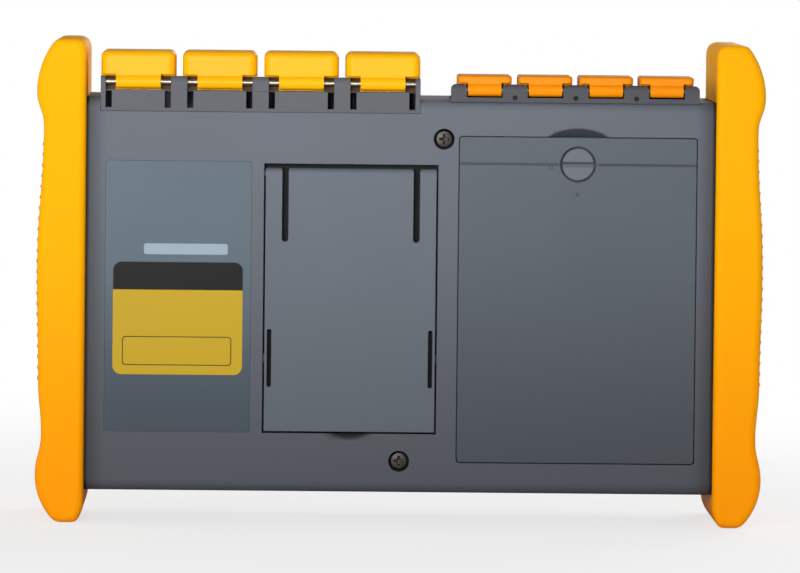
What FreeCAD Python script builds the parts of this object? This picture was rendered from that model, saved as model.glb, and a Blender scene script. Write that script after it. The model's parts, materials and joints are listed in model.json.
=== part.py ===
"""A tablet-style optical time domain reflectometer, built piece by piece.

The case is a front and a rear shell gripped by two rubber bumpers.  Four optical ports under big
hinged caps and four electrical sockets under small hinged caps stand in a row along the top edge.
The back carries a fold-out stand, a battery door with a coin lock and a label plate; the front
carries a display and nine keys.

Axes: the display faces -Y, the back faces +Y, +Z is up.  The origin is the middle of the base.
"""
import FreeCAD, Part
import math
import os

import Sketcher

DIMENSIONS = {
    # the whole instrument
    "overall_width": 253.0, "overall_depth": 73.6, "overall_height": 168.0,
    # case
    "bumper_end": 7.5, "case_height": 136.8, "case_low": 11.2, "case_wall": 2.6,
    "bumper_lip": 3.0, "front_shell_depth": 16.0, "back_round": 4.0, "front_round": 3.0,
    "seat_gap": 0.3, "fit_gap": 0.02, "running_gap": 0.05, "inner_wall": 2.0,
    # rubber bumpers
    "bumper_grip": 17.2, "bumper_edge": 2.6, "bumper_corner": 3.4,
    "crown_inset": 6.6, "shoulder_drop": 18.5, "upper_waist_inset": 2.5, "upper_waist_drop": 30.0,
    "grip_inset": 0.5, "grip_height": 88.0, "lower_flank_inset": 1.1, "lower_flank_height": 50.0,
    "lower_waist_inset": 2.3, "lower_waist_height": 30.5, "foot_inset": 0.2, "foot_height": 16.5,
    "toe_inset": 7.3, "heel_inset": 14.9, "heel_rise": 5.0,
    "rib_pitch": 3.7, "rib_radius": 1.2, "rib_stand": 0.5, "rib_reach": 27.0,
    "rib_low": 50.0, "rib_drop": 35.0,
    # fold-out stand
    "stand_centre": 17.25, "stand_recess_width": 60.5, "stand_recess_low": 31.7,
    "stand_recess_high": 125.4, "stand_thickness": 4.0, "stand_sunk": 0.3, "stand_side_gap": 0.6,
    "stand_top_gap": 1.5, "stand_floor_gap": 0.4, "stand_pin_radius": 1.2, "stand_pin_reach": 1.6,
    "spring_slot_offset": 22.8, "spring_slot_width": 2.2, "spring_slot_low": 98.3,
    "snap_slot_offset": 28.0, "snap_slot_width": 1.5, "snap_slot_low": 47.7,
    "snap_slot_high": 67.8, "snap_nub_height": 2.8, "snap_nub_stand": 0.35,
    "stand_scoop_width": 21.0, "stand_scoop_rise": 3.9,
    # battery door and its lock
    "door_centre": -61.5, "door_recess_width": 83.0, "door_recess_low": 21.8,
    "door_recess_high": 135.6, "door_thickness": 2.4, "door_gap": 0.3, "door_corner": 1.2,
    "door_scoop_width": 23.3, "door_scoop_rise": 3.6, "scoop_depth": 2.0,
    "crease_height": 126.0, "crease_width": 0.6, "crease_depth": 0.35, "crease_clear": 1.2,
    "lock_height": 126.05, "lock_well_radius": 6.25, "lock_well_depth": 1.4,
    "lock_head_radius": 5.5, "lock_head_thickness": 1.25, "lock_slot_width": 1.7,
    "lock_slot_depth": 0.8, "lock_shank_radius": 2.0, "lock_shank_length": 8.0,
    "insert_radius": 3.2, "insert_bore": 2.5, "insert_length": 8.4, "lock_boss_wall": 2.2,
    "hook_width": 12.0, "hook_offset": 28.0, "hook_thickness": 1.4, "hook_drop": 2.6,
    "hook_leg": 2.0, "hook_swing_gap": 0.8, "door_rib_depth": 1.0, "door_rib_width": 1.2,
    # battery
    "battery_well_margin": 2.5, "battery_well_high": 116.0, "battery_well_depth": 27.5,
    "battery_side_gap": 0.5, "battery_thickness": 22.0, "battery_low": 30.0,
    "battery_corner": 3.0, "contact_width": 14.0, "contact_height": 7.0, "contact_stand": 4.0,
    # case screws
    "screw_upper_x": -14.85, "screw_upper_z": 134.4, "screw_lower_x": -0.2,
    "screw_lower_z": 22.2, "screw_well_radius": 3.6, "screw_well_depth": 5.0,
    "screw_head_radius": 2.8, "screw_head_height": 2.0, "screw_radius": 1.5,
    "screw_length": 25.0, "screw_hole_gap": 0.2, "post_wall": 2.2, "post_meet": 14.0,
    "corner_screw_margin": 14.7, "corner_screw_inset": 7.4, "corner_well_radius": 2.3,
    "corner_head_radius": 2.0, "corner_screw_radius": 1.1,
    # label plate
    "label_low_x": 51.8, "label_high_x": 102.4, "label_low": 31.8, "label_high": 126.0,
    "label_thickness": 0.4, "label_corner": 1.0,
    # optical port block and its caps
    "port_block_low_x": -6.5, "port_block_high_x": 104.5, "port_block_low": 143.1,
    "port_wall_top": 150.5, "port_plate_thickness": 2.0, "port_pitch": 28.3,
    "port_row_centre": 49.0, "port_notch_half": 11.3, "port_axis_height": 153.3,
    "port_lug_radius": 2.1, "port_pin_radius": 1.0, "pin_hold": 1.5, "block_sunk": 0.4,
    "block_wall_depth": 4.2, "port_deck_reach": 29.3, "port_slot_width": 2.1,
    "port_slot_low": 144.4, "port_slot_high": 150.2, "port_slot_depth": 3.6,
    "port_cap_width": 25.9, "port_cap_top": 164.2, "port_cap_reach": 27.8,
    "port_tongue_width": 15.6, "port_knuckle_radius": 2.3, "cap_clear": 2.6,
    "cap_overhang": 0.8, "cap_wall": 1.6, "port_cap_corner": 2.7, "port_cap_edge": 2.3,
    "skirt_back_gap": 0.6,
    # optical adapters
    "adapter_flange": 13.0, "adapter_flange_thickness": 1.6, "adapter_nose_radius": 4.0,
    "adapter_nose_length": 7.0, "adapter_well_radius": 3.05, "adapter_well_depth": 5.0,
    "adapter_barrel_radius": 4.4, "adapter_barrel_length": 9.5, "adapter_core_radius": 2.3,
    "adapter_core_drop": 1.0, "adapter_key_width": 2.1, "adapter_key_depth": 2.4,
    "adapter_tail_bore": 1.5,
    "sleeve_radius": 1.6, "sleeve_bore": 1.25, "sleeve_length": 11.4, "sleeve_slit": 0.4,
    "flange_screw_offset": 4.6, "flange_screw_radius": 0.7, "flange_screw_head": 1.3,
    "flange_screw_head_height": 0.8, "flange_screw_length": 4.0,
    # socket block and its caps
    "jack_block_low_x": -103.5, "jack_block_high_x": -17.1, "jack_block_low": 147.4,
    "jack_plate_thickness": 1.0, "jack_pitch": 21.1, "jack_row_centre": -60.45,
    "jack_notch_half": 6.2, "jack_axis_height": 151.6, "jack_lug_radius": 2.0,
    "jack_lug_corner": 1.8, "jack_pin_radius": 0.8, "jack_deck_reach": 25.8,
    "jack_cap_width": 18.7, "jack_cap_top": 156.7, "jack_cap_reach": 24.3,
    "jack_tongue_width": 11.6, "jack_knuckle_radius": 2.2, "jack_cap_clear": 2.5,
    "jack_cap_corner": 1.6, "jack_cap_edge": 1.0, "dimple_radius": 0.9, "dimple_depth": 0.8,
    # sockets on their board
    "socket_reach": 20.4, "board_thickness": 1.6, "jack_board_low": 126.8,
    "socket_mouth_drop": 0.2, "usb_width": 14.4, "usb_height": 7.0, "usb_depth": 14.0,
    "usb_mouth_width": 12.5, "usb_mouth_height": 5.1, "usb_tongue": 1.8, "usb_tongue_width": 11.1,
    "rj_width": 16.0, "rj_height": 13.4, "rj_depth": 15.8, "rj_mouth_width": 11.8,
    "rj_mouth_height": 6.9, "rj_latch_width": 6.2, "rj_latch_height": 2.6, "rj_mouth_depth": 12.6,
    "dc_width": 9.0, "dc_height": 11.0, "dc_depth": 14.0, "dc_bore": 3.1, "dc_pin": 1.0,
    "dc_bore_depth": 9.5, "socket_window_gap": 0.3, "socket_post_radius": 2.2,
    # main board and measuring unit
    "main_board_low_x": -106.0, "main_board_high_x": 106.4, "main_board_low": 28.0,
    "main_board_high": 124.0, "engine_low_x": 3.0, "engine_high_x": 98.0, "engine_low": 34.0,
    "engine_high": 118.0, "engine_height": 20.0, "engine_corner": 3.0, "engine_ear": 6.0,
    "engine_ear_thickness": 2.0, "board_post_x": 103.0, "board_post_radius": 3.0,
    "board_post_inset": 6.0, "board_screw_radius": 1.0, "board_screw_head": 2.0,
    "board_screw_head_height": 1.2, "board_screw_length": 5.0, "shield_width": 46.0,
    "shield_tall": 38.0, "shield_height": 3.0, "shield_x": 30.0, "shield_z": 76.0,
    # display
    "glass_low_x": -104.0, "glass_width": 160.0, "glass_low": 26.0, "glass_height": 106.0,
    "glass_thickness": 1.5, "glass_corner": 3.0, "glass_gap": 0.1, "bezel": 8.0,
    "gasket_width": 2.5, "lcd_margin": 4.0, "lcd_thickness": 6.5,
    # keys
    "pad_centre_x": 82.5, "pad_centre_z": 82.0, "key_stand": 1.2, "key_travel": 0.8,
    "key_gap": 0.3, "key_flange": 1.2, "key_flange_thickness": 1.2, "key_stem": 2.0,
    "key_bevel": 0.5, "key_corner": 1.5, "arrow_reach": 14.5, "arrow_long": 12.0, "arrow_short": 8.0,
    "ok_radius": 5.6, "row_key_width": 16.0, "row_key_height": 9.0, "row_key_spread": 11.0,
    "upper_row_rise": 44.0, "lower_row_drop": 44.0, "power_radius": 5.6,
    "light_radius": 1.2, "light_spread": 8.0, "light_rise": 30.0, "light_length": 6.0,
    "key_board_gap": 0.2, "key_board_width": 44.0, "key_board_height": 116.0,
    "key_post_radius": 2.8,
    # case seal
    "seal_width": 1.2, "seal_height": 1.0,
}

document = FreeCAD.newDocument("reflectometer")
sheet = document.addObject("Spreadsheet::Sheet", "sizes")
for row, (word, value) in enumerate(DIMENSIONS.items(), start=1):
    sheet.set(f"A{row}", word)
    sheet.set(f"B{row}", str(value))
    sheet.setAlias(f"B{row}", word)
document.recompute()


class Size:
    """A length that carries its spreadsheet formula and its number side by side."""

    def __init__(self, text, value):
        self.text = text
        self.value = value

    def __float__(self):
        return float(self.value)

    def __add__(self, other):
        other = as_size(other)
        return Size(f"({self.text} + {other.text})", self.value + other.value)

    def __sub__(self, other):
        other = as_size(other)
        return Size(f"({self.text} - {other.text})", self.value - other.value)

    def __mul__(self, other):
        other = as_size(other)
        return Size(f"({self.text} * {other.text})", self.value * other.value)

    def __truediv__(self, other):
        other = as_size(other)
        return Size(f"({self.text} / {other.text})", self.value / other.value)

    def __radd__(self, other):
        return as_size(other) + self

    def __rsub__(self, other):
        return as_size(other) - self

    def __rmul__(self, other):
        return as_size(other) * self

    def __neg__(self):
        return Size(f"(0 - {self.text})", -self.value)


def as_size(value):
    """Wrap a plain number as a Size."""
    return value if isinstance(value, Size) else Size(repr(float(value)), float(value))


def dim(word):
    """The Size behind one word of the spreadsheet."""
    return Size(f"sizes.{word}", float(sheet.get(word)))


# ---------------------------------------------------------------- shared places

HALF_WIDTH = dim("overall_width") / 2
CASE_HALF = HALF_WIDTH - dim("bumper_end")
CASE_LOW = dim("case_low")
CASE_TOP = CASE_LOW + dim("case_height")
BACK = dim("overall_depth") / 2 - dim("bumper_lip")
FRONT = -BACK
SPLIT = FRONT + dim("front_shell_depth")
WALL = dim("case_wall")
GAP = dim("seat_gap")
INNER = dim("inner_wall")
BACK_INSIDE = BACK - WALL
FRONT_INSIDE = FRONT + WALL

DOOR_HALF = dim("door_recess_width") / 2
DOOR_FLOOR = BACK - dim("door_thickness") - dim("door_gap")
DOOR_X = (dim("door_centre") - DOOR_HALF, dim("door_centre") + DOOR_HALF)
DOOR_Z = (dim("door_recess_low"), dim("door_recess_high"))
WELL_X = (DOOR_X[0] + dim("battery_well_margin"), DOOR_X[1] - dim("battery_well_margin"))
WELL_Z = (DOOR_Z[0] + dim("battery_well_margin"), dim("battery_well_high"))
WELL_FLOOR = BACK - dim("battery_well_depth")
BOARD_BACK = WELL_FLOOR - INNER
BOARD_FRONT = BOARD_BACK - dim("board_thickness")

STAND_HALF = dim("stand_recess_width") / 2
STAND_X = (dim("stand_centre") - STAND_HALF, dim("stand_centre") + STAND_HALF)
STAND_Z = (dim("stand_recess_low"), dim("stand_recess_high"))
STAND_OUT = BACK - dim("stand_sunk")
STAND_IN = STAND_OUT - dim("stand_thickness")
STAND_FLOOR = STAND_IN - dim("stand_floor_gap")
STAND_BARREL = dim("stand_thickness") / 2
STAND_AXIS = (STAND_OUT - STAND_BARREL, STAND_Z[1] - dim("stand_top_gap") - STAND_BARREL)

LOCK = (dim("door_centre"), dim("lock_height"))
LOCK_SEAT = BACK - dim("lock_well_depth")
INSERT_END = DOOR_FLOOR - dim("insert_length")

UPPER_SCREW = (dim("screw_upper_x"), dim("screw_upper_z"))
LOWER_SCREW = (dim("screw_lower_x"), dim("screw_lower_z"))
CORNER_SCREWS = [
    ((HALF_WIDTH - dim("corner_screw_margin")) * side, height)
    for side in (-1, 1)
    for height in (CASE_LOW + dim("corner_screw_inset"), CASE_TOP - dim("corner_screw_inset"))
]
SCREW_SEAT = BACK - dim("screw_well_depth")
CASE_SCREWS = [UPPER_SCREW, LOWER_SCREW]
POST_RADIUS = dim("screw_well_radius") + dim("post_wall") / 2
CORNER_POST_RADIUS = dim("corner_well_radius") + dim("post_wall") / 2

BLOCK_BACK = BACK - dim("block_sunk")
BLOCK_FRONT = BLOCK_BACK - dim("block_wall_depth")
PORT_AXIS = (BLOCK_BACK - dim("port_lug_radius"), dim("port_axis_height"))
JACK_AXIS = (BLOCK_BACK - dim("jack_lug_radius"), dim("jack_axis_height"))
PORT_TOP = CASE_TOP + dim("port_plate_thickness")
JACK_TOP = CASE_TOP + dim("jack_plate_thickness")
PORTS = [dim("port_row_centre") + dim("port_pitch") * step for step in (1.5, 0.5, -0.5, -1.5)]
JACKS = [dim("jack_row_centre") + dim("jack_pitch") * step for step in (1.5, 0.5, -0.5, -1.5)]
PORT_SKIRT_BACK = PORT_AXIS[0] - dim("port_lug_radius") - dim("skirt_back_gap")
JACK_SKIRT_BACK = JACK_AXIS[0] - dim("jack_lug_radius") - dim("skirt_back_gap")
PORT_CAP_FRONT = BACK - dim("port_cap_reach")
JACK_CAP_FRONT = BACK - dim("jack_cap_reach")
PORT_Y = (PORT_CAP_FRONT + PORT_SKIRT_BACK) / 2
SOCKET_MOUTH = JACK_TOP - dim("socket_mouth_drop")
SOCKET_SEAT = BACK - dim("socket_reach")

GLASS_X = (dim("glass_low_x"), dim("glass_low_x") + dim("glass_width"))
GLASS_Z = (dim("glass_low"), dim("glass_low") + dim("glass_height"))
GLASS_BACK = FRONT + dim("glass_thickness")
VIEW_X = (GLASS_X[0] + dim("bezel"), GLASS_X[1] - dim("bezel"))
VIEW_Z = (GLASS_Z[0] + dim("bezel"), GLASS_Z[1] - dim("bezel"))

PAD = (dim("pad_centre_x"), dim("pad_centre_z"))
KEY_FACE = FRONT - dim("key_stand")
KEY_FLANGE_FRONT = FRONT_INSIDE + GAP
KEY_FLANGE_BACK = KEY_FLANGE_FRONT + dim("key_flange_thickness")
KEY_END = KEY_FLANGE_BACK + dim("key_stem")
KEY_BOARD_FRONT = KEY_END + dim("key_travel") + dim("key_board_gap")
KEY_BOARD_BACK = KEY_BOARD_FRONT + dim("board_thickness")
ROUND_KEYS = ("key_ok", "key_power")


# ---------------------------------------------------------------- primitive helpers

pieces = []
checked_cuts = []


def bind(thing, **formulas):
    """Tie each named property to the formula of its Size."""
    for name, size in formulas.items():
        thing.setExpression(name.replace("_", "."), as_size(size).text)


def block(x, y, z, name="block"):
    """A box between two limits on each axis."""
    made = document.addObject("Part::Box", name)
    bind(made, Length=x[1] - x[0], Width=y[1] - y[0], Height=z[1] - z[0],
         Placement_Base_x=x[0], Placement_Base_y=y[0], Placement_Base_z=z[0])
    return made


TURNS = {
    "X": FreeCAD.Rotation(FreeCAD.Vector(0, 1, 0), 90),
    "Y": FreeCAD.Rotation(FreeCAD.Vector(1, 0, 0), -90),
    "Z": FreeCAD.Rotation(),
}


def rod(axis, radius, centre, span, name="rod"):
    """A cylinder along one axis; centre gives its other two coordinates in X, Y, Z order."""
    made = document.addObject("Part::Cylinder", name)
    made.Placement = FreeCAD.Placement(FreeCAD.Vector(), TURNS[axis])
    place = {"X": (span[0], *centre), "Y": (centre[0], span[0], centre[1]), "Z": (*centre, span[0])}
    x, y, z = place[axis]
    bind(made, Radius=radius, Height=span[1] - span[0],
         Placement_Base_x=x, Placement_Base_y=y, Placement_Base_z=z)
    return made


def join(parts, name="join"):
    """One solid, or one group of separate solids, from several."""
    made = document.addObject("Part::MultiFuse", name)
    made.Shapes = parts
    made.Refine = True
    return made


def cut(base, tools, name="cut"):
    """The base with every tool taken away."""
    made = document.addObject("Part::Cut", name)
    made.Base = base
    made.Tool = tools[0] if len(tools) == 1 else join(tools)
    made.Refine = True
    checked_cuts.append((made, made.Base))
    return made


def overlap(first, second, name="overlap"):
    """What two solids share."""
    made = document.addObject("Part::MultiCommon", name)
    made.Shapes = [first, second]
    return made


def rounded(base, radius, wanted, name="rounded"):
    """The base with the wanted edges rounded; wanted tests an edge."""
    document.recompute()
    made = document.addObject("Part::Fillet", name)
    made.Base = base
    size = float(radius)
    numbers = [n for n, edge in enumerate(base.Shape.Edges, start=1) if wanted(edge)]
    made.Edges = [(n, size, size) for n in numbers]
    return made


def keep(thing, label):
    """Enter a finished sub-part under its own name."""
    thing.Label = label
    pieces.append(thing)
    return thing


NEAR = 1e-4


def in_plane(axis, place):
    """Test for edges that lie wholly in one plane across an axis."""
    def wanted(edge):
        box = edge.BoundBox
        low, high = getattr(box, axis.upper() + "Min"), getattr(box, axis.upper() + "Max")
        return abs(low - float(place)) < 1e-3 and abs(high - float(place)) < 1e-3
    return wanted


# ---------------------------------------------------------------- sketched mouldings

class Moulding:
    """A PartDesign body that grows feature by feature between stated planes."""

    NORMALS = {"XY_Plane": 1, "XZ_Plane": -1, "YZ_Plane": 1}

    def __init__(self, label):
        self.body = document.addObject("PartDesign::Body", label)
        keep(self.body, label)

    def sketch(self, plane, place, outlines):
        made = self.body.newObject("Sketcher::SketchObject", "outline")
        origin = [item for item in self.body.Origin.OriginFeatures if item.Role == plane]
        made.AttachmentSupport = [(origin[0], "")]
        made.MapMode = "FlatFace"
        height = as_size(place) * self.NORMALS[plane]
        made.setExpression("AttachmentOffset.Base.z", height.text)
        for outline in outlines:
            outline(made)
        return made

    def raise_from(self, plane, start, end, outlines):
        """Add material from one plane to another."""
        feature = self.body.newObject("PartDesign::Pad", "pad")
        self.extrude(feature, plane, start, end, outlines)
        feature.Reversed = (float(end) - float(start)) * self.NORMALS[plane] < 0
        return feature

    def sink_from(self, plane, start, end, outlines):
        """Take material away from one plane to another."""
        before = self.body.Tip
        feature = self.body.newObject("PartDesign::Pocket", "pocket")
        self.extrude(feature, plane, start, end, outlines)
        feature.Reversed = (float(end) - float(start)) * self.NORMALS[plane] > 0
        checked_cuts.append((feature, before))
        return feature

    def extrude(self, feature, plane, start, end, outlines):
        length = end - start if float(end) > float(start) else start - end
        feature.Profile = self.sketch(plane, start, outlines)
        feature.Type = "Length"
        feature.setExpression("Length", length.text)
        feature.Refine = True

    def round_edges(self, radius, wanted):
        """Round the wanted edges."""
        self.dress_edges("PartDesign::Fillet", "Radius", radius, wanted)

    def bevel_edges(self, size, wanted):
        """Bevel the wanted edges."""
        self.dress_edges("PartDesign::Chamfer", "Size", size, wanted)

    def dress_edges(self, kind, measure, size, wanted):
        document.recompute()
        tip = self.body.Tip
        numbers = [n for n, edge in enumerate(tip.Shape.Edges, start=1) if wanted(edge)]
        feature = self.body.newObject(kind, "dressed_edges")
        feature.Base = (tip, [f"Edge{n}" for n in numbers])
        feature.setExpression(measure, as_size(size).text)


def pin_point(sketch, direction, geometry, point, size):
    """Hold one point of a sketch at a signed distance from the origin."""
    number = sketch.addConstraint(
        Sketcher.Constraint(direction, -1, 1, geometry, point, float(size)))
    sketch.setExpression(f"Constraints[{number}]", as_size(size).text)


def rectangle(x, y, corner=None):
    """An outline between two limits each way, with round corners if a radius is given."""
    def draw(sketch):
        low = FreeCAD.Vector(float(x[0]), float(y[0]), 0)
        high = FreeCAD.Vector(float(x[1]), float(y[1]), 0)
        turn = float(corner) if corner is not None else 0.0
        corners = [(low.x, low.y), (high.x, low.y), (high.x, high.y), (low.x, high.y)]
        steps = [(1, 0), (0, 1), (-1, 0), (0, -1)]
        first = sketch.GeometryCount
        for number, (step_x, step_y) in enumerate(steps):
            start_x, start_y = corners[number]
            end_x, end_y = corners[(number + 1) % 4]
            sketch.addGeometry(Part.LineSegment(
                FreeCAD.Vector(start_x + step_x * turn, start_y + step_y * turn, 0),
                FreeCAD.Vector(end_x - step_x * turn, end_y - step_y * turn, 0)), False)
        for number in range(4):
            kind = "Vertical" if number % 2 else "Horizontal"
            sketch.addConstraint(Sketcher.Constraint(kind, first + number))
        if corner is None:
            for number in range(4):
                following = first + (number + 1) % 4
                sketch.addConstraint(
                    Sketcher.Constraint("Coincident", first + number, 2, following, 1))
        else:
            add_corners(sketch, first, corners, steps, turn, corner)
        pin_point(sketch, "DistanceY", first, 1, y[0])
        pin_point(sketch, "DistanceX", first + 1, 1, x[1])
        pin_point(sketch, "DistanceY", first + 2, 1, y[1])
        pin_point(sketch, "DistanceX", first + 3, 1, x[0])
    return draw


def add_corners(sketch, first, corners, steps, turn, corner):
    """Join the four sides of a rectangle with equal tangent arcs."""
    for number in range(4):
        arriving, leaving = steps[number], steps[(number + 1) % 4]
        x, y = corners[(number + 1) % 4]
        centre = FreeCAD.Vector(x + (leaving[0] - arriving[0]) * turn,
                                y + (leaving[1] - arriving[1]) * turn, 0)
        start = math.pi / 2 * (number - 1)
        ring = Part.Circle(centre, FreeCAD.Vector(0, 0, 1), turn)
        sketch.addGeometry(Part.ArcOfCircle(ring, start, start + math.pi / 2), False)
    for number in range(4):
        arc, following = first + 4 + number, first + (number + 1) % 4
        sketch.addConstraint(Sketcher.Constraint("Tangent", first + number, 2, arc, 1))
        sketch.addConstraint(Sketcher.Constraint("Tangent", arc, 2, following, 1))
    for number in range(1, 4):
        sketch.addConstraint(Sketcher.Constraint("Equal", first + 4, first + 4 + number))
    radius = sketch.addConstraint(Sketcher.Constraint("Radius", first + 4, turn))
    sketch.setExpression(f"Constraints[{radius}]", as_size(corner).text)


def circle(x, y, radius):
    """A round outline."""
    def draw(sketch):
        number = sketch.addGeometry(Part.Circle(
            FreeCAD.Vector(float(x), float(y), 0), FreeCAD.Vector(0, 0, 1), float(radius)), False)
        pin_point(sketch, "DistanceX", number, 3, x)
        pin_point(sketch, "DistanceY", number, 3, y)
        ring = sketch.addConstraint(Sketcher.Constraint("Radius", number, float(radius)))
        sketch.setExpression(f"Constraints[{ring}]", as_size(radius).text)
    return draw


def grown(limits, margin):
    """A pair of limits moved outwards by a margin."""
    return (limits[0] - margin, limits[1] + margin)


def about(centre, width):
    """The limits of a width about its centre."""
    return (centre - width / 2, centre + width / 2)


# ---------------------------------------------------------------- rear shell

def make_rear_shell():
    """The moulded back: stand recess, battery well, screw posts and the notches for the ports."""
    shell = Moulding("rear_shell")
    whole = rectangle((-CASE_HALF, CASE_HALF), (CASE_LOW, CASE_TOP))
    shell.raise_from("XZ_Plane", BACK, SPLIT, [whole])
    shell.round_edges(dim("back_round"), in_plane("y", BACK))
    hollow = rectangle((WALL - CASE_HALF, CASE_HALF - WALL), (CASE_LOW + WALL, CASE_TOP - WALL))
    shell.sink_from("XZ_Plane", SPLIT, BACK_INSIDE, [hollow])
    add_rear_backing(shell)
    add_rear_posts(shell)
    sink_rear_recesses(shell)
    open_rear_top(shell)


def add_rear_backing(shell):
    """Thicken the back wall from inside wherever it is recessed from outside."""
    shell.raise_from("XZ_Plane", BACK_INSIDE, DOOR_FLOOR - INNER,
                     [rectangle(grown(DOOR_X, INNER), grown(DOOR_Z, INNER))])
    shell.raise_from("XZ_Plane", DOOR_FLOOR - INNER, BOARD_BACK,
                     [rectangle(grown(WELL_X, INNER), grown(WELL_Z, INNER))])
    shell.raise_from("XZ_Plane", BACK_INSIDE, STAND_FLOOR - INNER,
                     [rectangle(grown(STAND_X, INNER), grown(STAND_Z, INNER))])
    shell.raise_from("XZ_Plane", BACK_INSIDE, BACK_INSIDE - INNER / 2,
                     [rectangle((dim("label_low_x"), dim("label_high_x")),
                                (dim("label_low"), dim("label_high")))])
    boss = dim("insert_radius") + dim("lock_boss_wall")
    shell.raise_from("XZ_Plane", DOOR_FLOOR - INNER, INSERT_END - dim("fit_gap"),
                     [circle(*LOCK, boss)])


def add_rear_posts(shell):
    """Posts for the case screws and for the two boards."""
    posts = [circle(*place, POST_RADIUS) for place in CASE_SCREWS]
    shell.raise_from("XZ_Plane", BACK_INSIDE, dim("post_meet"), posts)
    corners = [circle(*place, CORNER_POST_RADIUS) for place in CORNER_SCREWS]
    shell.raise_from("XZ_Plane", BACK_INSIDE, dim("post_meet"), corners)
    board = [circle(dim("board_post_x"), height, dim("board_post_radius"))
             for height in board_screw_heights()]
    shell.raise_from("XZ_Plane", BACK_INSIDE, BOARD_BACK, board)
    spots = [(x, jack_screw_height()) for x in jack_screw_columns()]
    jacks = [circle(*spot, dim("socket_post_radius")) for spot in spots]
    shell.raise_from("XZ_Plane", BACK_INSIDE, SOCKET_SEAT, jacks)
    hole = dim("board_screw_radius") + dim("fit_gap")
    deep = dim("board_screw_length") - dim("board_thickness") + GAP
    places = [(dim("board_post_x"), height) for height in board_screw_heights()]
    shell.sink_from("XZ_Plane", BOARD_BACK, BOARD_BACK + deep, [circle(*p, hole) for p in places])
    shell.sink_from("XZ_Plane", SOCKET_SEAT, SOCKET_SEAT + deep, [circle(*p, hole) for p in spots])


def board_screw_heights():
    """Heights of the main board's screws."""
    inset = dim("board_post_inset")
    return (dim("main_board_low") + inset, dim("main_board_high") - inset)


def jack_screw_columns():
    """Places along X of the socket board's two screws."""
    return ((JACKS[2] + JACKS[3]) / 2, (JACKS[0] + JACKS[1]) / 2)


def jack_screw_height():
    """Height of the socket board's screws."""
    return dim("jack_board_low") + dim("socket_post_radius") * 2


def screw_bores(gap):
    """Outlines of the bores that the case screws and the corner screws pass, with a gap."""
    bores = [circle(*place, dim("screw_radius") + gap) for place in CASE_SCREWS]
    return bores + [circle(*place, dim("corner_screw_radius") + gap) for place in CORNER_SCREWS]


def sink_rear_recesses(shell):
    """Recesses that are sunk from the back."""
    shell.sink_from("XZ_Plane", BACK, STAND_FLOOR, [rectangle(STAND_X, STAND_Z)])
    shell.sink_from("XZ_Plane", BACK, DOOR_FLOOR, [rectangle(DOOR_X, DOOR_Z, dim("door_corner"))])
    shell.sink_from("XZ_Plane", DOOR_FLOOR, WELL_FLOOR,
                    [rectangle(WELL_X, WELL_Z, dim("battery_corner"))])
    label = rectangle((dim("label_low_x"), dim("label_high_x")),
                      (dim("label_low"), dim("label_high")), dim("label_corner"))
    shell.sink_from("XZ_Plane", BACK, BACK - dim("label_thickness"), [label])
    wells = [circle(*place, dim("screw_well_radius")) for place in CASE_SCREWS]
    wells += [circle(*place, dim("corner_well_radius")) for place in CORNER_SCREWS]
    shell.sink_from("XZ_Plane", BACK, SCREW_SEAT, wells)
    gap = dim("screw_hole_gap")
    shell.sink_from("XZ_Plane", SCREW_SEAT, dim("post_meet"), screw_bores(gap))
    insert = circle(*LOCK, dim("insert_radius") + dim("fit_gap"))
    shell.sink_from("XZ_Plane", DOOR_FLOOR, INSERT_END, [insert])
    notches = [rectangle(about(x, dim("hook_width") + GAP * 3),
                         (DOOR_Z[0] - dim("hook_drop") - GAP, WELL_Z[0] + GAP))
               for x in hook_columns()]
    shell.sink_from("XZ_Plane", DOOR_FLOOR - INNER, hook_inner_face() - dim("hook_swing_gap"),
                    notches)
    pins = [circle(*STAND_AXIS, dim("stand_pin_radius") + dim("running_gap"))]
    reach = dim("stand_pin_reach") - dim("stand_side_gap") + GAP * 3
    shell.sink_from("YZ_Plane", STAND_X[0], STAND_X[0] - reach, pins)
    shell.sink_from("YZ_Plane", STAND_X[1], STAND_X[1] + reach, pins)
    contact = rectangle(about(dim("door_centre"), dim("contact_width")),
                        (WELL_Z[1] - dim("contact_height") - GAP, WELL_Z[1] - GAP))
    shell.sink_from("XZ_Plane", WELL_FLOOR, BOARD_BACK, [contact])


def open_rear_top(shell):
    """Notches and windows in the top wall for the two port blocks."""
    for low_x, high_x, low in (("port_block_low_x", "port_block_high_x", "port_block_low"),
                               ("jack_block_low_x", "jack_block_high_x", "jack_block_low")):
        notch = rectangle((dim(low_x), dim(high_x)), (BLOCK_FRONT, BACK))
        shell.sink_from("XY_Plane", CASE_TOP, dim(low), [notch])
    holes = [circle(x, PORT_Y, dim("adapter_barrel_radius") + GAP * 2) for x in PORTS]
    shell.sink_from("XY_Plane", CASE_TOP, CASE_TOP - WALL, holes)
    shell.sink_from("XY_Plane", CASE_TOP, CASE_TOP - WALL,
                    [rectangle(*window) for window in socket_windows()])


def cut_scoops(base):
    """The finger scoops above the battery door and below the stand."""
    scoops = [
        scoop(dim("door_centre"), DOOR_Z[1], dim("door_scoop_width"), dim("door_scoop_rise"), 1),
        scoop(dim("stand_centre"), STAND_Z[0], dim("stand_scoop_width"),
              dim("stand_scoop_rise"), -1),
    ]
    return cut(base, scoops, "rear_shell_with_scoops")


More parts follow.
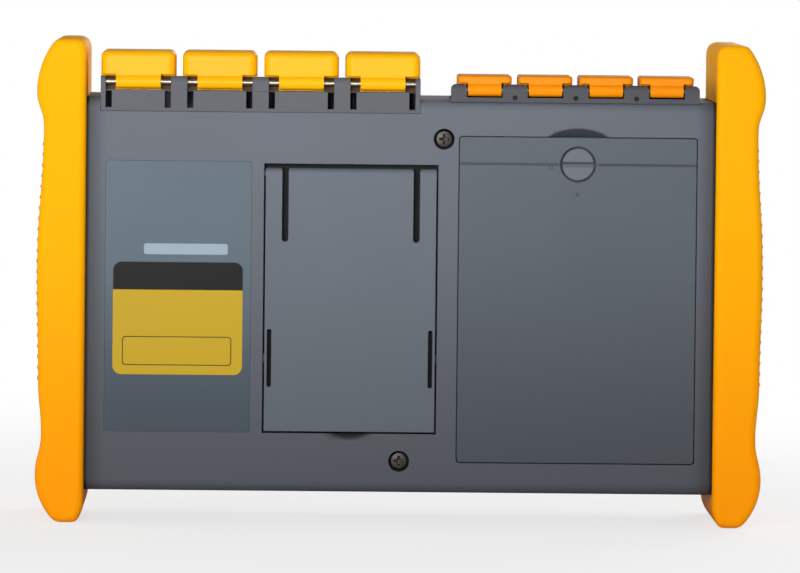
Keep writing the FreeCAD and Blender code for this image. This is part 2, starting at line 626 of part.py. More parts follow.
def scoop(x, edge, width, rise, way):
    """A ball-shaped hollow that is deepest at a recess's edge and fades out beyond it."""
    ring = (width * width / 4 + rise * rise) / (rise * 2)
    depth = dim("scoop_depth")
    ball_height = (ring * ring - (ring - rise) * (ring - rise) - depth * depth) / (depth * 2)
    radius = math.hypot(float(ring), float(ball_height))
    ball = document.addObject("Part::Sphere", "scoop_ball")
    square = (ring * ring + ball_height * ball_height).text
    ball.setExpression("Radius", f"sqrt({square})")
    bind(ball, Placement_Base_x=x, Placement_Base_y=BACK + ball_height,
         Placement_Base_z=edge + (rise - ring) * way)
    ball.recompute()
    near, far = (edge, edge + rise * 2) if way > 0 else (edge - rise * 2, edge)
    window = block(about(x, width * 2), (BACK - radius, BACK + radius), (near, far))
    return overlap(ball, window)


# ---------------------------------------------------------------- front shell

def make_front_shell():
    """The display side: glass recess, view window, key holes and screw bosses."""
    shell = Moulding("front_shell")
    whole = rectangle((-CASE_HALF, CASE_HALF), (CASE_LOW, CASE_TOP))
    shell.raise_from("XZ_Plane", SPLIT, FRONT, [whole])
    shell.round_edges(dim("front_round"), in_plane("y", FRONT))
    hollow = rectangle((WALL - CASE_HALF, CASE_HALF - WALL), (CASE_LOW + WALL, CASE_TOP - WALL))
    shell.sink_from("XZ_Plane", SPLIT, FRONT_INSIDE, [hollow])
    posts = [circle(*place, POST_RADIUS) for place in CASE_SCREWS]
    posts += [circle(*place, CORNER_POST_RADIUS) for place in CORNER_SCREWS]
    shell.raise_from("XZ_Plane", FRONT_INSIDE, dim("post_meet"), posts)
    shell.sink_from("XZ_Plane", dim("post_meet"), SCREW_SEAT - dim("screw_length") - GAP,
                    screw_bores(dim("fit_gap")))
    shell.raise_from("XZ_Plane", FRONT_INSIDE, KEY_BOARD_FRONT,
                     [circle(*place, dim("key_post_radius")) for place in key_board_corners()])
    deep = dim("board_screw_length") - dim("board_thickness") + GAP
    tap = dim("board_screw_radius") + dim("fit_gap")
    shell.sink_from("XZ_Plane", KEY_BOARD_FRONT, KEY_BOARD_FRONT - deep,
                    [circle(*place, tap) for place in key_board_corners()])
    shell.sink_from("XZ_Plane", FRONT, GLASS_BACK,
                    [rectangle(grown(GLASS_X, dim("glass_gap")), grown(GLASS_Z, dim("glass_gap")),
                               dim("glass_corner"))])
    shell.sink_from("XZ_Plane", GLASS_BACK, FRONT_INSIDE, [rectangle(VIEW_X, VIEW_Z)])
    gap = dim("key_gap")
    holes = [key_outline(label, gap) for label in key_limits()]
    lights = [circle(x, z, dim("light_radius") + dim("fit_gap")) for x, z in light_places()]
    shell.sink_from("XZ_Plane", FRONT, FRONT_INSIDE, holes + lights)
    groove = dim("seal_width")
    mid = (WALL - groove) / 2
    outer = rectangle((mid - CASE_HALF, CASE_HALF - mid), (CASE_LOW + mid, CASE_TOP - mid))
    inner = rectangle((mid + groove - CASE_HALF, CASE_HALF - mid - groove),
                      (CASE_LOW + mid + groove, CASE_TOP - mid - groove))
    shell.sink_from("XZ_Plane", SPLIT, SPLIT - dim("seal_height"), [outer, inner])


def key_limits():
    """Limits of every key along X and Z."""
    x, z = PAD
    reach, long, short = dim("arrow_reach"), dim("arrow_long"), dim("arrow_short")
    wide, tall = dim("row_key_width"), dim("row_key_height")
    spread = dim("row_key_spread")
    upper, lower = z + dim("upper_row_rise"), z - dim("lower_row_drop")
    ok, power = dim("ok_radius") * 2, dim("power_radius") * 2
    places = {
        "key_up": (x, z + reach, long, short),
        "key_down": (x, z - reach, long, short),
        "key_left": (x - reach, z, short, long),
        "key_right": (x + reach, z, short, long),
        "key_ok": (x, z, ok, ok),
        "key_test": (x - spread, upper, wide, tall),
        "key_power": (x + spread, upper, power, power),
        "key_save": (x - spread, lower, wide, tall),
        "key_back": (x + spread, lower, wide, tall),
    }
    return {label: (about(centre_x, width), about(centre_z, height))
            for label, (centre_x, centre_z, width, height) in places.items()}


def key_outline(label, gap):
    """The outline of one key, grown by a gap: round for two of them, else a rounded bar."""
    x, z = key_limits()[label]
    if label in ROUND_KEYS:
        return circle((x[0] + x[1]) / 2, (z[0] + z[1]) / 2, (x[1] - x[0]) / 2 + gap)
    return rectangle(grown(x, gap), grown(z, gap), dim("key_corner"))


def light_places():
    """Centres of the three status lights."""
    x, z = PAD
    height = z + dim("light_rise")
    return [(x + dim("light_spread") * step, height) for step in (-1, 0, 1)]


def key_board_limits():
    """Limits of the key board along X and Z."""
    return (about(PAD[0], dim("key_board_width")), about(PAD[1], dim("key_board_height")))


def key_board_corners():
    """Where the key board stands on its posts."""
    x, z = key_board_limits()
    inset = dim("key_post_radius")
    return [(column, height)
            for column in (x[0] + inset, x[1] - inset)
            for height in (z[0] + inset, z[1] - inset)]


def make_keys():
    """Keys with a flange behind the front wall and a stem that meets a switch."""
    for label, (x, z) in key_limits().items():
        key = Moulding(label)
        key.raise_from("XZ_Plane", KEY_FLANGE_FRONT, KEY_FACE, [key_outline(label, 0)])
        key.bevel_edges(dim("key_bevel"), in_plane("y", KEY_FACE))
        rim = dim("key_flange")
        key.raise_from("XZ_Plane", KEY_FLANGE_FRONT, KEY_FLANGE_BACK,
                       [rectangle(grown(x, rim), grown(z, rim))])
        key.raise_from("XZ_Plane", KEY_FLANGE_BACK, KEY_END,
                       [rectangle(grown(x, -rim * 2), grown(z, -rim * 2))])


def make_key_board():
    """The board behind the keys, the lights that stand on it and its screws."""
    x, z = key_board_limits()
    board = block(x, (KEY_BOARD_FRONT, KEY_BOARD_BACK), z)
    hole = dim("board_screw_radius") + dim("running_gap")
    holes = [rod("Y", hole, place, (KEY_BOARD_FRONT, KEY_BOARD_BACK))
             for place in key_board_corners()]
    keep(cut(board, holes), "key_board")
    lights = [rod("Y", dim("light_radius"), place, (FRONT, KEY_BOARD_FRONT))
              for place in light_places()]
    keep(join(lights), "status_lights")


def make_display():
    """Cover glass, seal and screen module, front to back."""
    glass = Moulding("display_glass")
    outline = rectangle(GLASS_X, GLASS_Z, dim("glass_corner"))
    glass.raise_from("XZ_Plane", GLASS_BACK, FRONT, [outline])
    rim = dim("gasket_width")
    seal = block(VIEW_X, (GLASS_BACK, FRONT_INSIDE), VIEW_Z)
    hole = block(grown(VIEW_X, -rim), (GLASS_BACK, FRONT_INSIDE), grown(VIEW_Z, -rim))
    keep(cut(seal, [hole]), "display_gasket")
    margin = dim("lcd_margin")
    keep(block(grown(VIEW_X, margin), (FRONT_INSIDE, FRONT_INSIDE + dim("lcd_thickness")),
               grown(VIEW_Z, margin)), "screen_module")


# ---------------------------------------------------------------- bumpers

def bumper_stations():
    """Where the outer flank stands upright, from its lowest swell to its shoulder."""
    top = dim("overall_height")
    return [
        (HALF_WIDTH - dim("foot_inset"), dim("foot_height")),
        (HALF_WIDTH - dim("lower_waist_inset"), dim("lower_waist_height")),
        (HALF_WIDTH - dim("lower_flank_inset"), dim("lower_flank_height")),
        (HALF_WIDTH - dim("grip_inset"), dim("grip_height")),
        (HALF_WIDTH - dim("upper_waist_inset"), top - dim("upper_waist_drop")),
        (HALF_WIDTH, top - dim("shoulder_drop")),
    ]


def flank_arc(upright, other):
    """The arc that leaves its first point upright and ends at the other, as three points."""
    (x, z), (far_x, far_z) = upright, other
    across, rise = far_x - x, far_z - z
    radius = (across * across + rise * rise) / (across * 2)
    turn = math.asin(rise / radius)
    middle = (x + radius * (1 - math.cos(turn / 2)), z + radius * math.sin(turn / 2))
    return upright, middle, other


def bumper_flank():
    """The outer flank as tangent arcs: one below the foot, two between stations, one to the crown."""
    stations = [(float(x), float(z)) for x, z in bumper_stations()]
    toe = (float(HALF_WIDTH - dim("toe_inset")), 0.0)
    crown = (float(HALF_WIDTH - dim("crown_inset")), float(dim("overall_height")))
    arcs = [tuple(reversed(flank_arc(stations[0], toe)))]
    for low, high in zip(stations, stations[1:]):
        meeting = ((low[0] + high[0]) / 2, (low[1] + high[1]) / 2)
        arcs.append(flank_arc(low, meeting))
        arcs.append(tuple(reversed(flank_arc(high, meeting))))
    arcs.append(flank_arc(stations[-1], crown))
    return arcs


def bumper_blank(side):
    """The bumper's outer solid: the flank's profile pushed through the full depth and rounded."""
    half = float(dim("overall_depth")) / 2
    top, reach = float(dim("overall_height")), float(HALF_WIDTH - dim("bumper_grip"))
    arcs = bumper_flank()
    corners = [arcs[-1][2], (reach, top), (reach, float(dim("heel_rise"))),
               (float(HALF_WIDTH - dim("heel_inset")), 0.0), arcs[0][0]]

    def place(point):
        return FreeCAD.Vector(side * point[0], -half, point[1])

    edges = [Part.Arc(*[place(point) for point in arc]).toShape() for arc in arcs]
    edges += [Part.LineSegment(place(a), place(b)).toShape() for a, b in zip(corners, corners[1:])]
    face = Part.Face(Part.Wire(Part.__sortEdges__(edges)))
    solid = face.extrude(FreeCAD.Vector(0, 2 * half, 0))
    through = [edge for edge in solid.Edges if edge.BoundBox.YLength > half]
    inner = [edge for edge in through if edge.BoundBox.ZMax > top - NEAR]
    solid = solid.makeFillet(float(dim("bumper_corner")), inner)
    heels = [edge for edge in solid.Edges
             if edge.BoundBox.YLength > half and edge.BoundBox.ZMax < NEAR]
    solid = solid.makeFillet(float(dim("bumper_edge")), heels)
    rims = [edge for edge in solid.Edges
            if edge.BoundBox.YLength < NEAR and abs(abs(edge.BoundBox.YMax) - half) < NEAR]
    return solid.makeFillet(float(dim("bumper_edge")), rims)


def flank_reach(height):
    """How far out the flank stands at one height."""
    for low, high in zip(bumper_stations(), bumper_stations()[1:]):
        if float(low[1]) <= float(height) <= float(high[1]):
            share = (float(height) - float(low[1])) / (float(high[1]) - float(low[1]))
            blend = 2 * share * share if share < 0.5 else 1 - 2 * (1 - share) * (1 - share)
            return float(low[0]) + (float(high[0]) - float(low[0])) * blend
    raise ValueError("a rib stands off the grip")


def make_bumper(label, side):
    """A rubber bumper: a blank with grip ribs, hollowed to grip one end of the case."""
    blank = document.addObject("Part::Feature", label + "_blank")
    blank.Shape = bumper_blank(side)
    ribs = []
    rib_high = dim("overall_height") - dim("rib_drop")
    count = int(float((rib_high - dim("rib_low")) / dim("rib_pitch"))) + 1
    inset = dim("rib_stand") - dim("rib_radius")
    for number in range(count):
        height = dim("rib_low") + dim("rib_pitch") * number
        ribs.append(rod("Y", dim("rib_radius"), ((inset + flank_reach(height)) * side, height),
                        (-dim("rib_reach"), dim("rib_reach"))))
    ends = (CASE_HALF / 2, CASE_HALF)
    case_end = block(ends if side > 0 else (-ends[1], -ends[0]), (FRONT, BACK),
                     (CASE_LOW, CASE_TOP))
    back = rounded(case_end, dim("back_round"), in_plane("y", BACK), "case_end_back")
    front = rounded(back, dim("front_round"), in_plane("y", FRONT), "case_end")
    keep(cut(join([blank] + ribs), [front]), label)


# ---------------------------------------------------------------- stand

def make_stand():
    """The fold-out stand: a slotted panel with a hinge barrel, spring arms and snap nubs."""
    gap = dim("stand_side_gap")
    width = grown(STAND_X, -gap)
    low = STAND_Z[0] + gap
    centre = dim("stand_centre")
    stand = Moulding("kickstand")
    stand.raise_from("XZ_Plane", STAND_OUT, STAND_IN, [rectangle(width, (low, STAND_AXIS[1]))])
    stand.raise_from("YZ_Plane", width[0], width[1], [circle(*STAND_AXIS, STAND_BARREL)])
    half = dim("snap_slot_width") / 2
    nub = about((dim("snap_slot_low") + dim("snap_slot_high")) / 2, dim("snap_nub_height"))
    for side, edge in ((-1, width[0]), (1, width[1])):
        out = edge + dim("snap_nub_stand") * side
        limits = (out, edge) if side < 0 else (edge, out)
        stand.raise_from("XZ_Plane", STAND_OUT - STAND_BARREL / 2, STAND_IN + STAND_BARREL / 2,
                         [rectangle(limits, nub)])
        stand.raise_from("YZ_Plane", edge, edge + dim("stand_pin_reach") * side,
                         [circle(*STAND_AXIS, dim("stand_pin_radius"))])
    arms = [rectangle(about(centre + dim("spring_slot_offset") * side, dim("spring_slot_width")),
                      (dim("spring_slot_low"), STAND_Z[1]), dim("spring_slot_width") * 0.48)
            for side in (-1, 1)]
    stand.sink_from("XZ_Plane", BACK, STAND_FLOOR, arms)
    slots = [rectangle(about(centre + dim("snap_slot_offset") * side, dim("snap_slot_width")),
                       (dim("snap_slot_low"), dim("snap_slot_high")), half * 0.96)
             for side in (-1, 1)]
    stand.sink_from("XZ_Plane", BACK, STAND_FLOOR, slots)


# ---------------------------------------------------------------- battery and door

def hook_columns():
    """Centres of the door's two hooks along X."""
    return [dim("door_centre") + dim("hook_offset") * side for side in (-1, 1)]


def hook_outer_face():
    """The side of a hook that bears on the ledge, set back so that it swings past its edge."""
    return DOOR_FLOOR - INNER - dim("hook_swing_gap")


def hook_inner_face():
    """The far side of a hook."""
    return hook_outer_face() - dim("hook_thickness")


def make_door():
    """The battery door: a ribbed plate with two hooks below and the well of its coin lock."""
    x, z = grown(DOOR_X, -dim("door_gap")), grown(DOOR_Z, -dim("door_gap"))
    inside = BACK - dim("door_thickness")
    door = Moulding("battery_door")
    door.raise_from("XZ_Plane", BACK, inside, [rectangle(x, z, dim("door_corner"))])
    rib_x = grown(WELL_X, -dim("battery_corner") * 2)
    rib = dim("door_rib_width")
    heights = [WELL_Z[0] + (WELL_Z[1] - WELL_Z[0]) * share for share in (0.3, 0.5, 0.7)]
    door.raise_from("XZ_Plane", inside, inside - dim("door_rib_depth"),
                    [rectangle(rib_x, about(height, rib)) for height in heights])
    leg = (WELL_Z[0] + GAP, WELL_Z[0] + GAP + dim("hook_leg"))
    hooks = [about(column, dim("hook_width")) for column in hook_columns()]
    door.raise_from("XZ_Plane", inside, hook_inner_face(),
                    [rectangle(span, leg) for span in hooks])
    door.raise_from("XZ_Plane", hook_outer_face(), hook_inner_face(),
                    [rectangle(span, (DOOR_Z[0] - dim("hook_drop") + GAP * 2, leg[1]))
                     for span in hooks])
    door.sink_from("XZ_Plane", BACK, LOCK_SEAT, [circle(*LOCK, dim("lock_well_radius"))])
    shank = dim("lock_shank_radius") + dim("running_gap")
    door.sink_from("XZ_Plane", LOCK_SEAT, inside, [circle(*LOCK, shank)])
    crease = about(dim("crease_height"), dim("crease_width"))
    clear = dim("lock_well_radius") + dim("crease_clear")
    lines = [rectangle((x[0], LOCK[0] - clear), crease), rectangle((LOCK[0] + clear, x[1]), crease)]
    door.sink_from("XZ_Plane", BACK, BACK - dim("crease_depth"), lines)


def make_door_lock():
    """The coin-slotted lock and the brass insert that its shank enters."""
    bottom = LOCK_SEAT + dim("running_gap")
    top = bottom + dim("lock_head_thickness")
    head = rod("Y", dim("lock_head_radius"), LOCK, (bottom, top))
    shank = rod("Y", dim("lock_shank_radius"), LOCK, (bottom - dim("lock_shank_length"), bottom))
    slot = block(about(LOCK[0], dim("lock_head_radius") * 2 + GAP), (top - dim("lock_slot_depth"), top),
                 about(LOCK[1], dim("lock_slot_width")))
    keep(cut(join([head, shank]), [slot]), "door_lock_screw")
    span = (INSERT_END, DOOR_FLOOR - GAP / 3)
    insert = rod("Y", dim("insert_radius"), LOCK, span)
    keep(cut(insert, [rod("Y", dim("insert_bore"), LOCK, span)]), "lock_insert")


def make_battery():
    """The battery pack in its well and the contact block that it plugs onto."""
    x = grown(WELL_X, -dim("battery_side_gap"))
    z = (dim("battery_low"), WELL_Z[1] - dim("battery_side_gap"))
    pack = Moulding("battery_pack")
    pack.raise_from("XZ_Plane", WELL_FLOOR + dim("battery_thickness"), WELL_FLOOR,
                    [rectangle(x, z, dim("battery_corner"))])
    contact_x = about(dim("door_centre"), dim("contact_width"))
    contact_z = (WELL_Z[1] - dim("contact_height") - GAP, WELL_Z[1] - GAP)
    pack.sink_from("XZ_Plane", WELL_FLOOR, WELL_FLOOR + dim("contact_stand") + GAP,
                   [rectangle(grown(contact_x, GAP), (contact_z[0] - GAP, WELL_Z[1]))])
    side = dim("fit_gap")
    keep(block(grown(contact_x, -side), (BOARD_BACK, WELL_FLOOR + dim("contact_stand")),
               grown(contact_z, -side)), "battery_contacts")


# ---------------------------------------------------------------- port blocks, pins and caps

def hinge_row(centres, axis, notch, lug_radius, block_x, wall_top):
    """Rounded hinge lugs that fill the row between the caps' notches."""
    y, z = axis
    edges = [block_x[1]]
    for centre in centres:
        edges += [centre + notch, centre - notch]
    edges.append(block_x[0])
    lugs = []
    for number in range(0, len(edges), 2):
        span = (edges[number + 1], edges[number])
        foot = block(span, (y - lug_radius, y + lug_radius), (wall_top, z))
        lugs.append((join([foot, rod("X", lug_radius, axis, span)], "lug"), span))
    return lugs


def make_port_block():
    """The optical port block: deck plate, back wall with slots, and five hinge lugs."""
    x = (dim("port_block_low_x"), dim("port_block_high_x"))
    wall_top = dim("port_wall_top")
    plate = block(x, (BACK - dim("port_deck_reach"), BLOCK_FRONT), (CASE_TOP, PORT_TOP))
    wall = block(x, (BLOCK_FRONT, BLOCK_BACK), (dim("port_block_low"), wall_top))
    lugs = hinge_row(PORTS, PORT_AXIS, dim("port_notch_half"), dim("port_lug_radius"), x, wall_top)
    slot_z = (dim("port_slot_low"), dim("port_slot_high"))
    slot_y = (BLOCK_BACK - dim("port_slot_depth"), BLOCK_BACK)
    offset = dim("port_notch_half") - dim("port_slot_width") / 2
    tools = []
    for centre in PORTS:
        for side in (-1, 1):
            tools.append(block(about(centre + offset * side, dim("port_slot_width")),
                               slot_y, slot_z))
            tools.append(rod("Z", dim("flange_screw_radius") + dim("fit_gap"),
                             (centre + dim("flange_screw_offset") * side,
                              PORT_Y + dim("flange_screw_offset") * side),
                             (CASE_TOP, PORT_TOP)))
        tools.append(rod("Z", dim("adapter_barrel_radius") + GAP, (centre, PORT_Y),
                         (CASE_TOP, PORT_TOP)))
        tools.append(rod("X", dim("port_pin_radius") + dim("fit_gap"), PORT_AXIS,
                         port_pin_span(centre)))
    solid = join([plate, wall] + [lug for lug, span in lugs])
    keep(cut(solid, tools), "port_block")
    pins = [rod("X", dim("port_pin_radius"), PORT_AXIS, port_pin_span(centre)) for centre in PORTS]
    keep(join(pins), "port_cap_pins")


def port_pin_span(centre):
    """Both ends of a big cap's hinge pin."""
    return about(centre, (dim("port_notch_half") + dim("pin_hold")) * 2)


def jack_pin_span(centre):
    """Both ends of a small cap's hinge pin."""
    return about(centre, (dim("jack_notch_half") + dim("pin_hold")) * 2)


def make_jack_block():
    """The socket block: deck plate with socket windows, back wall and cropped hinge lugs."""
    x = (dim("jack_block_low_x"), dim("jack_block_high_x"))
    plate = block(x, (BACK - dim("jack_deck_reach"), BLOCK_FRONT), (CASE_TOP, JACK_TOP))
    wall = block(x, (BLOCK_FRONT, BLOCK_BACK), (dim("jack_block_low"), JACK_TOP))
    lugs = hinge_row(JACKS, JACK_AXIS, dim("jack_notch_half"), dim("jack_lug_radius"), x, JACK_TOP)
    tools = [block(*window, (CASE_TOP, JACK_TOP)) for window in socket_windows()]
    tools += [rod("X", dim("jack_pin_radius") + dim("fit_gap"), JACK_AXIS, jack_pin_span(centre))
              for centre in JACKS]
    top = JACK_AXIS[1] + dim("jack_lug_radius")
    crop = dim("jack_lug_corner")
    deep = (JACK_AXIS[0] - dim("jack_lug_radius"), BLOCK_BACK)
    for lug, span in lugs:
        for end, way in ((span[0], 1), (span[1], -1)):
            centre = end + crop * way
            limits = (end, centre) if way > 0 else (centre, end)
            corner = block(limits, deep, (top - crop, top))
            tools.append(cut(corner, [rod("Y", crop, (centre, top - crop), deep)]))
    shared = [(JACKS[n] + JACKS[n + 1]) / 2 for n in range(len(JACKS) - 1)]
    tools += [rod("Y", dim("dimple_radius"), (middle, JACK_TOP),
                  (BLOCK_BACK - dim("dimple_depth"), BLOCK_BACK)) for middle in shared]
    solid = join([plate, wall] + [lug for lug, span in lugs])
    keep(cut(solid, tools), "jack_block")
    pins = [rod("X", dim("jack_pin_radius"), JACK_AXIS, jack_pin_span(centre)) for centre in JACKS]
    keep(join(pins), "jack_cap_pins")


def make_cap(label, centre, kind, axis, deck, skirt_back):
    """A hinged dust cap: a hood over the port, a tongue and a knuckle round the hinge pin."""
    y, z = axis
    width, top = dim(kind + "_cap_width"), dim(kind + "_cap_top")
    front = PORT_CAP_FRONT if kind == "port" else JACK_CAP_FRONT
    clear = dim("cap_clear") if kind == "port" else dim("jack_cap_clear")
    wall, under, low = dim("cap_wall"), z + clear, deck + GAP
    x = about(centre, width)
    hood = block(x, (front, y + dim("cap_overhang")), (under, top))
    skirt = block(x, (front, skirt_back), (low, under))
    shape = join([hood, skirt])

    def upright(edge):
        box = edge.BoundBox
        return (box.ZLength > 1 and box.XLength < NEAR and box.YLength < NEAR
                and abs(box.YMin - float(front)) < NEAR)

    def hood_rear(edge):
        box = edge.BoundBox
        return (box.ZLength > 1 and box.XLength < NEAR
                and abs(box.YMin - float(y + dim("cap_overhang"))) < NEAR)

    shape = rounded(shape, dim(kind + "_cap_corner"), lambda e: upright(e) or hood_rear(e))
    shape = rounded(shape, dim(kind + "_cap_edge"), in_plane("z", top))
    hollow = block(grown(x, -wall), (front + wall, skirt_back - wall), (low, top - wall))
    tongue_x = about(centre, dim(kind + "_tongue_width"))
    knuckle = dim(kind + "_knuckle_radius")
    neck = block(tongue_x, (y - knuckle, y + dim("cap_overhang")), (z, under))
    barrel = rod("X", knuckle, axis, tongue_x)
    bore = rod("X", dim(kind + "_pin_radius") + dim("running_gap"), axis, tongue_x)
    keep(cut(join([cut(shape, [hollow]), neck, barrel]), [bore]), label)


def make_caps():
    """Four big caps and four small ones, numbered from the +X end."""
    for number, centre in enumerate(PORTS, start=1):
        make_cap(f"port_cap_{number}", centre, "port", PORT_AXIS, PORT_TOP, PORT_SKIRT_BACK)
    for number, centre in enumerate(JACKS, start=1):
        make_cap(f"jack_cap_{number}", centre, "jack", JACK_AXIS, JACK_TOP, JACK_SKIRT_BACK)


# ---------------------------------------------------------------- optical adapters

def make_adapters():
    """Round-nosed optical adapters, their ceramic sleeves and flange screws."""
    sleeves, screws = [], []
    seat = PORT_TOP + dim("adapter_flange_thickness")
    rim = seat + dim("adapter_nose_length")
    foot = PORT_TOP - dim("adapter_barrel_length")
    well = rim - dim("adapter_well_depth")
    core_top = rim - dim("adapter_core_drop")
    sleeve = (core_top - dim("sleeve_length"), core_top)
    for number, x in enumerate(PORTS, start=1):
        here = (x, PORT_Y)
        flange = block(about(x, dim("adapter_flange")), about(PORT_Y, dim("adapter_flange")),
                       (PORT_TOP, seat))
        nose = rod("Z", dim("adapter_nose_radius"), here, (PORT_TOP, rim))
        barrel = rod("Z", dim("adapter_barrel_radius"), here, (foot, PORT_TOP))
        key = block(about(x, dim("adapter_key_width")),
                    (PORT_Y - dim("adapter_nose_radius") * 1.2, PORT_Y),
                    (rim - dim("adapter_key_depth"), rim))
        open_rim = join([rod("Z", dim("adapter_well_radius"), here, (well, rim)), key])
        core = rod("Z", dim("adapter_core_radius"), here, (well, core_top))
        body = join([cut(join([flange, nose, barrel]), [open_rim]), core])
        hole = dim("flange_screw_radius") + dim("running_gap")
        tools = [rod("Z", dim("sleeve_radius") + dim("fit_gap"), here, sleeve),
                 rod("Z", dim("adapter_tail_bore"), here, (foot, sleeve[0]))]
        for side in (-1, 1):
            spot = (x + dim("flange_screw_offset") * side, PORT_Y + dim("flange_screw_offset") * side)
            tools.append(rod("Z", hole, spot, (PORT_TOP, seat)))
            head = rod("Z", dim("flange_screw_head"), spot,
                       (seat, seat + dim("flange_screw_head_height")))
            shank = rod("Z", dim("flange_screw_radius"), spot,
                        (seat - dim("flange_screw_length") + dim("port_plate_thickness") / 4, seat))
            screws.append(join([head, shank], "flange_screw"))
        keep(cut(body, tools), f"optical_adapter_{number}")
        tube = rod("Z", dim("sleeve_radius"), here, sleeve)
        slit = block(about(x, dim("sleeve_slit")), (PORT_Y, PORT_Y + dim("sleeve_radius") * 2), sleeve)
        sleeves.append(cut(tube, [rod("Z", dim("sleeve_bore"), here, sleeve), slit], "sleeve"))
    keep(join(sleeves), "adapter_sleeves")
    keep(join(screws), "flange_screws")


# ---------------------------------------------------------------- sockets and boards

def socket_sizes():
    """Width and height of each socket in the row, from the +X end."""
    usb = (dim("usb_width"), dim("usb_height"), dim("usb_depth"))
    network = (dim("rj_width"), dim("rj_height"), dim("rj_depth"))
    power = (dim("dc_width"), dim("dc_height"), dim("dc_depth"))
    return list(zip(JACKS, (usb, usb, network, power)))


def socket_windows():
    """The clear hole that each socket has in the deck, as limits along X and Y."""
    gap = dim("socket_window_gap")
    return [(grown(about(x, width), gap), grown((SOCKET_SEAT, SOCKET_SEAT + height), gap))
            for x, (width, height, depth) in socket_sizes()]


def make_sockets():
    """Two USB sockets, a network socket and a power inlet, all opening upwards."""
    mouth = SOCKET_MOUTH
    for number, (x, (width, height, depth)) in enumerate(socket_sizes()):
        shell = block(about(x, width), (SOCKET_SEAT, SOCKET_SEAT + height), (mouth - depth, mouth))
        middle = SOCKET_SEAT + height / 2
        if number < 2:
            floor = mouth - depth + WALL / 2
            cavity = block(about(x, dim("usb_mouth_width")),
                           about(middle, dim("usb_mouth_height")), (floor, mouth))
            tongue = block(about(x, dim("usb_tongue_width")), about(middle, dim("usb_tongue")),
                           (floor - WALL / 4, mouth - WALL / 2))
            keep(join([cut(shell, [cavity]), tongue]), f"usb_socket_{number + 1}")
        elif number == 2:
            floor = mouth - dim("rj_mouth_depth")
            low = SOCKET_SEAT + (height - dim("rj_mouth_height") - dim("rj_latch_height")) / 2
            high = low + dim("rj_mouth_height")
            cavity = block(about(x, dim("rj_mouth_width")), (low, high), (floor, mouth))
            latch = block(about(x, dim("rj_latch_width")), (high, high + dim("rj_latch_height")),
                          (floor, mouth))
            keep(cut(shell, [cavity, latch]), "network_socket")
        else:
            floor = mouth - dim("dc_bore_depth")
            bore = rod("Z", dim("dc_bore"), (x, middle), (floor, mouth))
            pin = rod("Z", dim("dc_pin"), (x, middle), (floor - WALL / 4, mouth - WALL / 2))
            keep(join([cut(shell, [bore]), pin]), "power_inlet")


def screw(place, seat, way, head_radius, head_height, radius, length, name="screw"):
    """A round-headed screw along Y whose head stands on its seat towards the given way."""
    ends = [(seat, seat + head_height * way), (seat - length * way, seat)]
    spans = [span if float(span[0]) < float(span[1]) else (span[1], span[0]) for span in ends]
    return join([rod("Y", head_radius, place, spans[0]), rod("Y", radius, place, spans[1])], name)


def board_screw(place, seat, way):
    """A small screw that holds a board."""
    return screw(place, seat, way, dim("board_screw_head"), dim("board_screw_head_height"),
                 dim("board_screw_radius"), dim("board_screw_length"))


def make_boards():
    """Main board with its shield, socket board, measuring unit and their screws."""
    x = (dim("main_board_low_x"), dim("main_board_high_x"))
    z = (dim("main_board_low"), dim("main_board_high"))
    thick = dim("board_thickness")
    hole = dim("board_screw_radius") + dim("running_gap")
    posts = [(dim("board_post_x"), height) for height in board_screw_heights()]
    board = block(x, (BOARD_FRONT, BOARD_BACK), z)
    keep(cut(board, [rod("Y", hole, place, (BOARD_FRONT, BOARD_BACK)) for place in posts]),
         "main_board")
    wide, tall = about(dim("shield_x"), dim("shield_width")), about(dim("shield_z"),
                                                                   dim("shield_tall"))
    keep(block(wide, (BOARD_FRONT - dim("shield_height"), BOARD_FRONT), tall), "processor_shield")
    columns = jack_screw_columns()
    jack_board = block((JACKS[3] - dim("dc_width") / 2, JACKS[0] + dim("usb_width") / 2),
                       (SOCKET_SEAT - thick, SOCKET_SEAT),
                       (dim("jack_board_low"), SOCKET_MOUTH - WALL * 1.5))
    spots = [(column, jack_screw_height()) for column in columns]
    keep(cut(jack_board, [rod("Y", hole, spot, (SOCKET_SEAT - thick, SOCKET_SEAT))
                          for spot in spots]), "socket_board")
    holders = [board_screw(place, BOARD_FRONT, -1) for place in posts]
    holders += [board_screw(spot, SOCKET_SEAT - thick, -1) for spot in spots]
    holders += [board_screw(place, KEY_BOARD_BACK, 1) for place in key_board_corners()]
    keep(join(holders), "board_screws")
    make_engine()


def make_engine():
    """The optical measuring unit: a screened can with fixing ears on the main board."""
    x = (dim("engine_low_x"), dim("engine_high_x"))
    z = (dim("engine_low"), dim("engine_high"))
    can = Moulding("measuring_unit")
    can.raise_from("XZ_Plane", BOARD_BACK + dim("engine_height"), BOARD_BACK,
                   [rectangle(grown(x, -dim("engine_ear")), z, dim("engine_corner"))])
    can.raise_from("XZ_Plane", BOARD_BACK + dim("engine_ear_thickness"), BOARD_BACK,
                   [rectangle(x, about((z[0] + z[1]) / 2, dim("engine_ear") * 2))])


def make_screws():
    """The two case screws in view and the four that the bumpers hide."""
    for label, places, head, shank in (
            ("case_screws", CASE_SCREWS, "screw_head_radius", "screw_radius"),
            ("corner_screws", CORNER_SCREWS, "corner_head_radius", "corner_screw_radius")):
        sizes = (dim(head), dim("screw_head_height"), dim(shank), dim("screw_length"))
        keep(join([screw(place, SCREW_SEAT, 1, *sizes) for place in places]), label)


def make_label():
    """The thin label plate in its shallow recess."""
    plate = Moulding("rear_label")
    side = dim("fit_gap")
    plate.raise_from("XZ_Plane", BACK, BACK - dim("label_thickness"),
                     [rectangle(grown((dim("label_low_x"), dim("label_high_x")), -side),
                                grown((dim("label_low"), dim("label_high")), -side),
                                dim("label_corner"))])


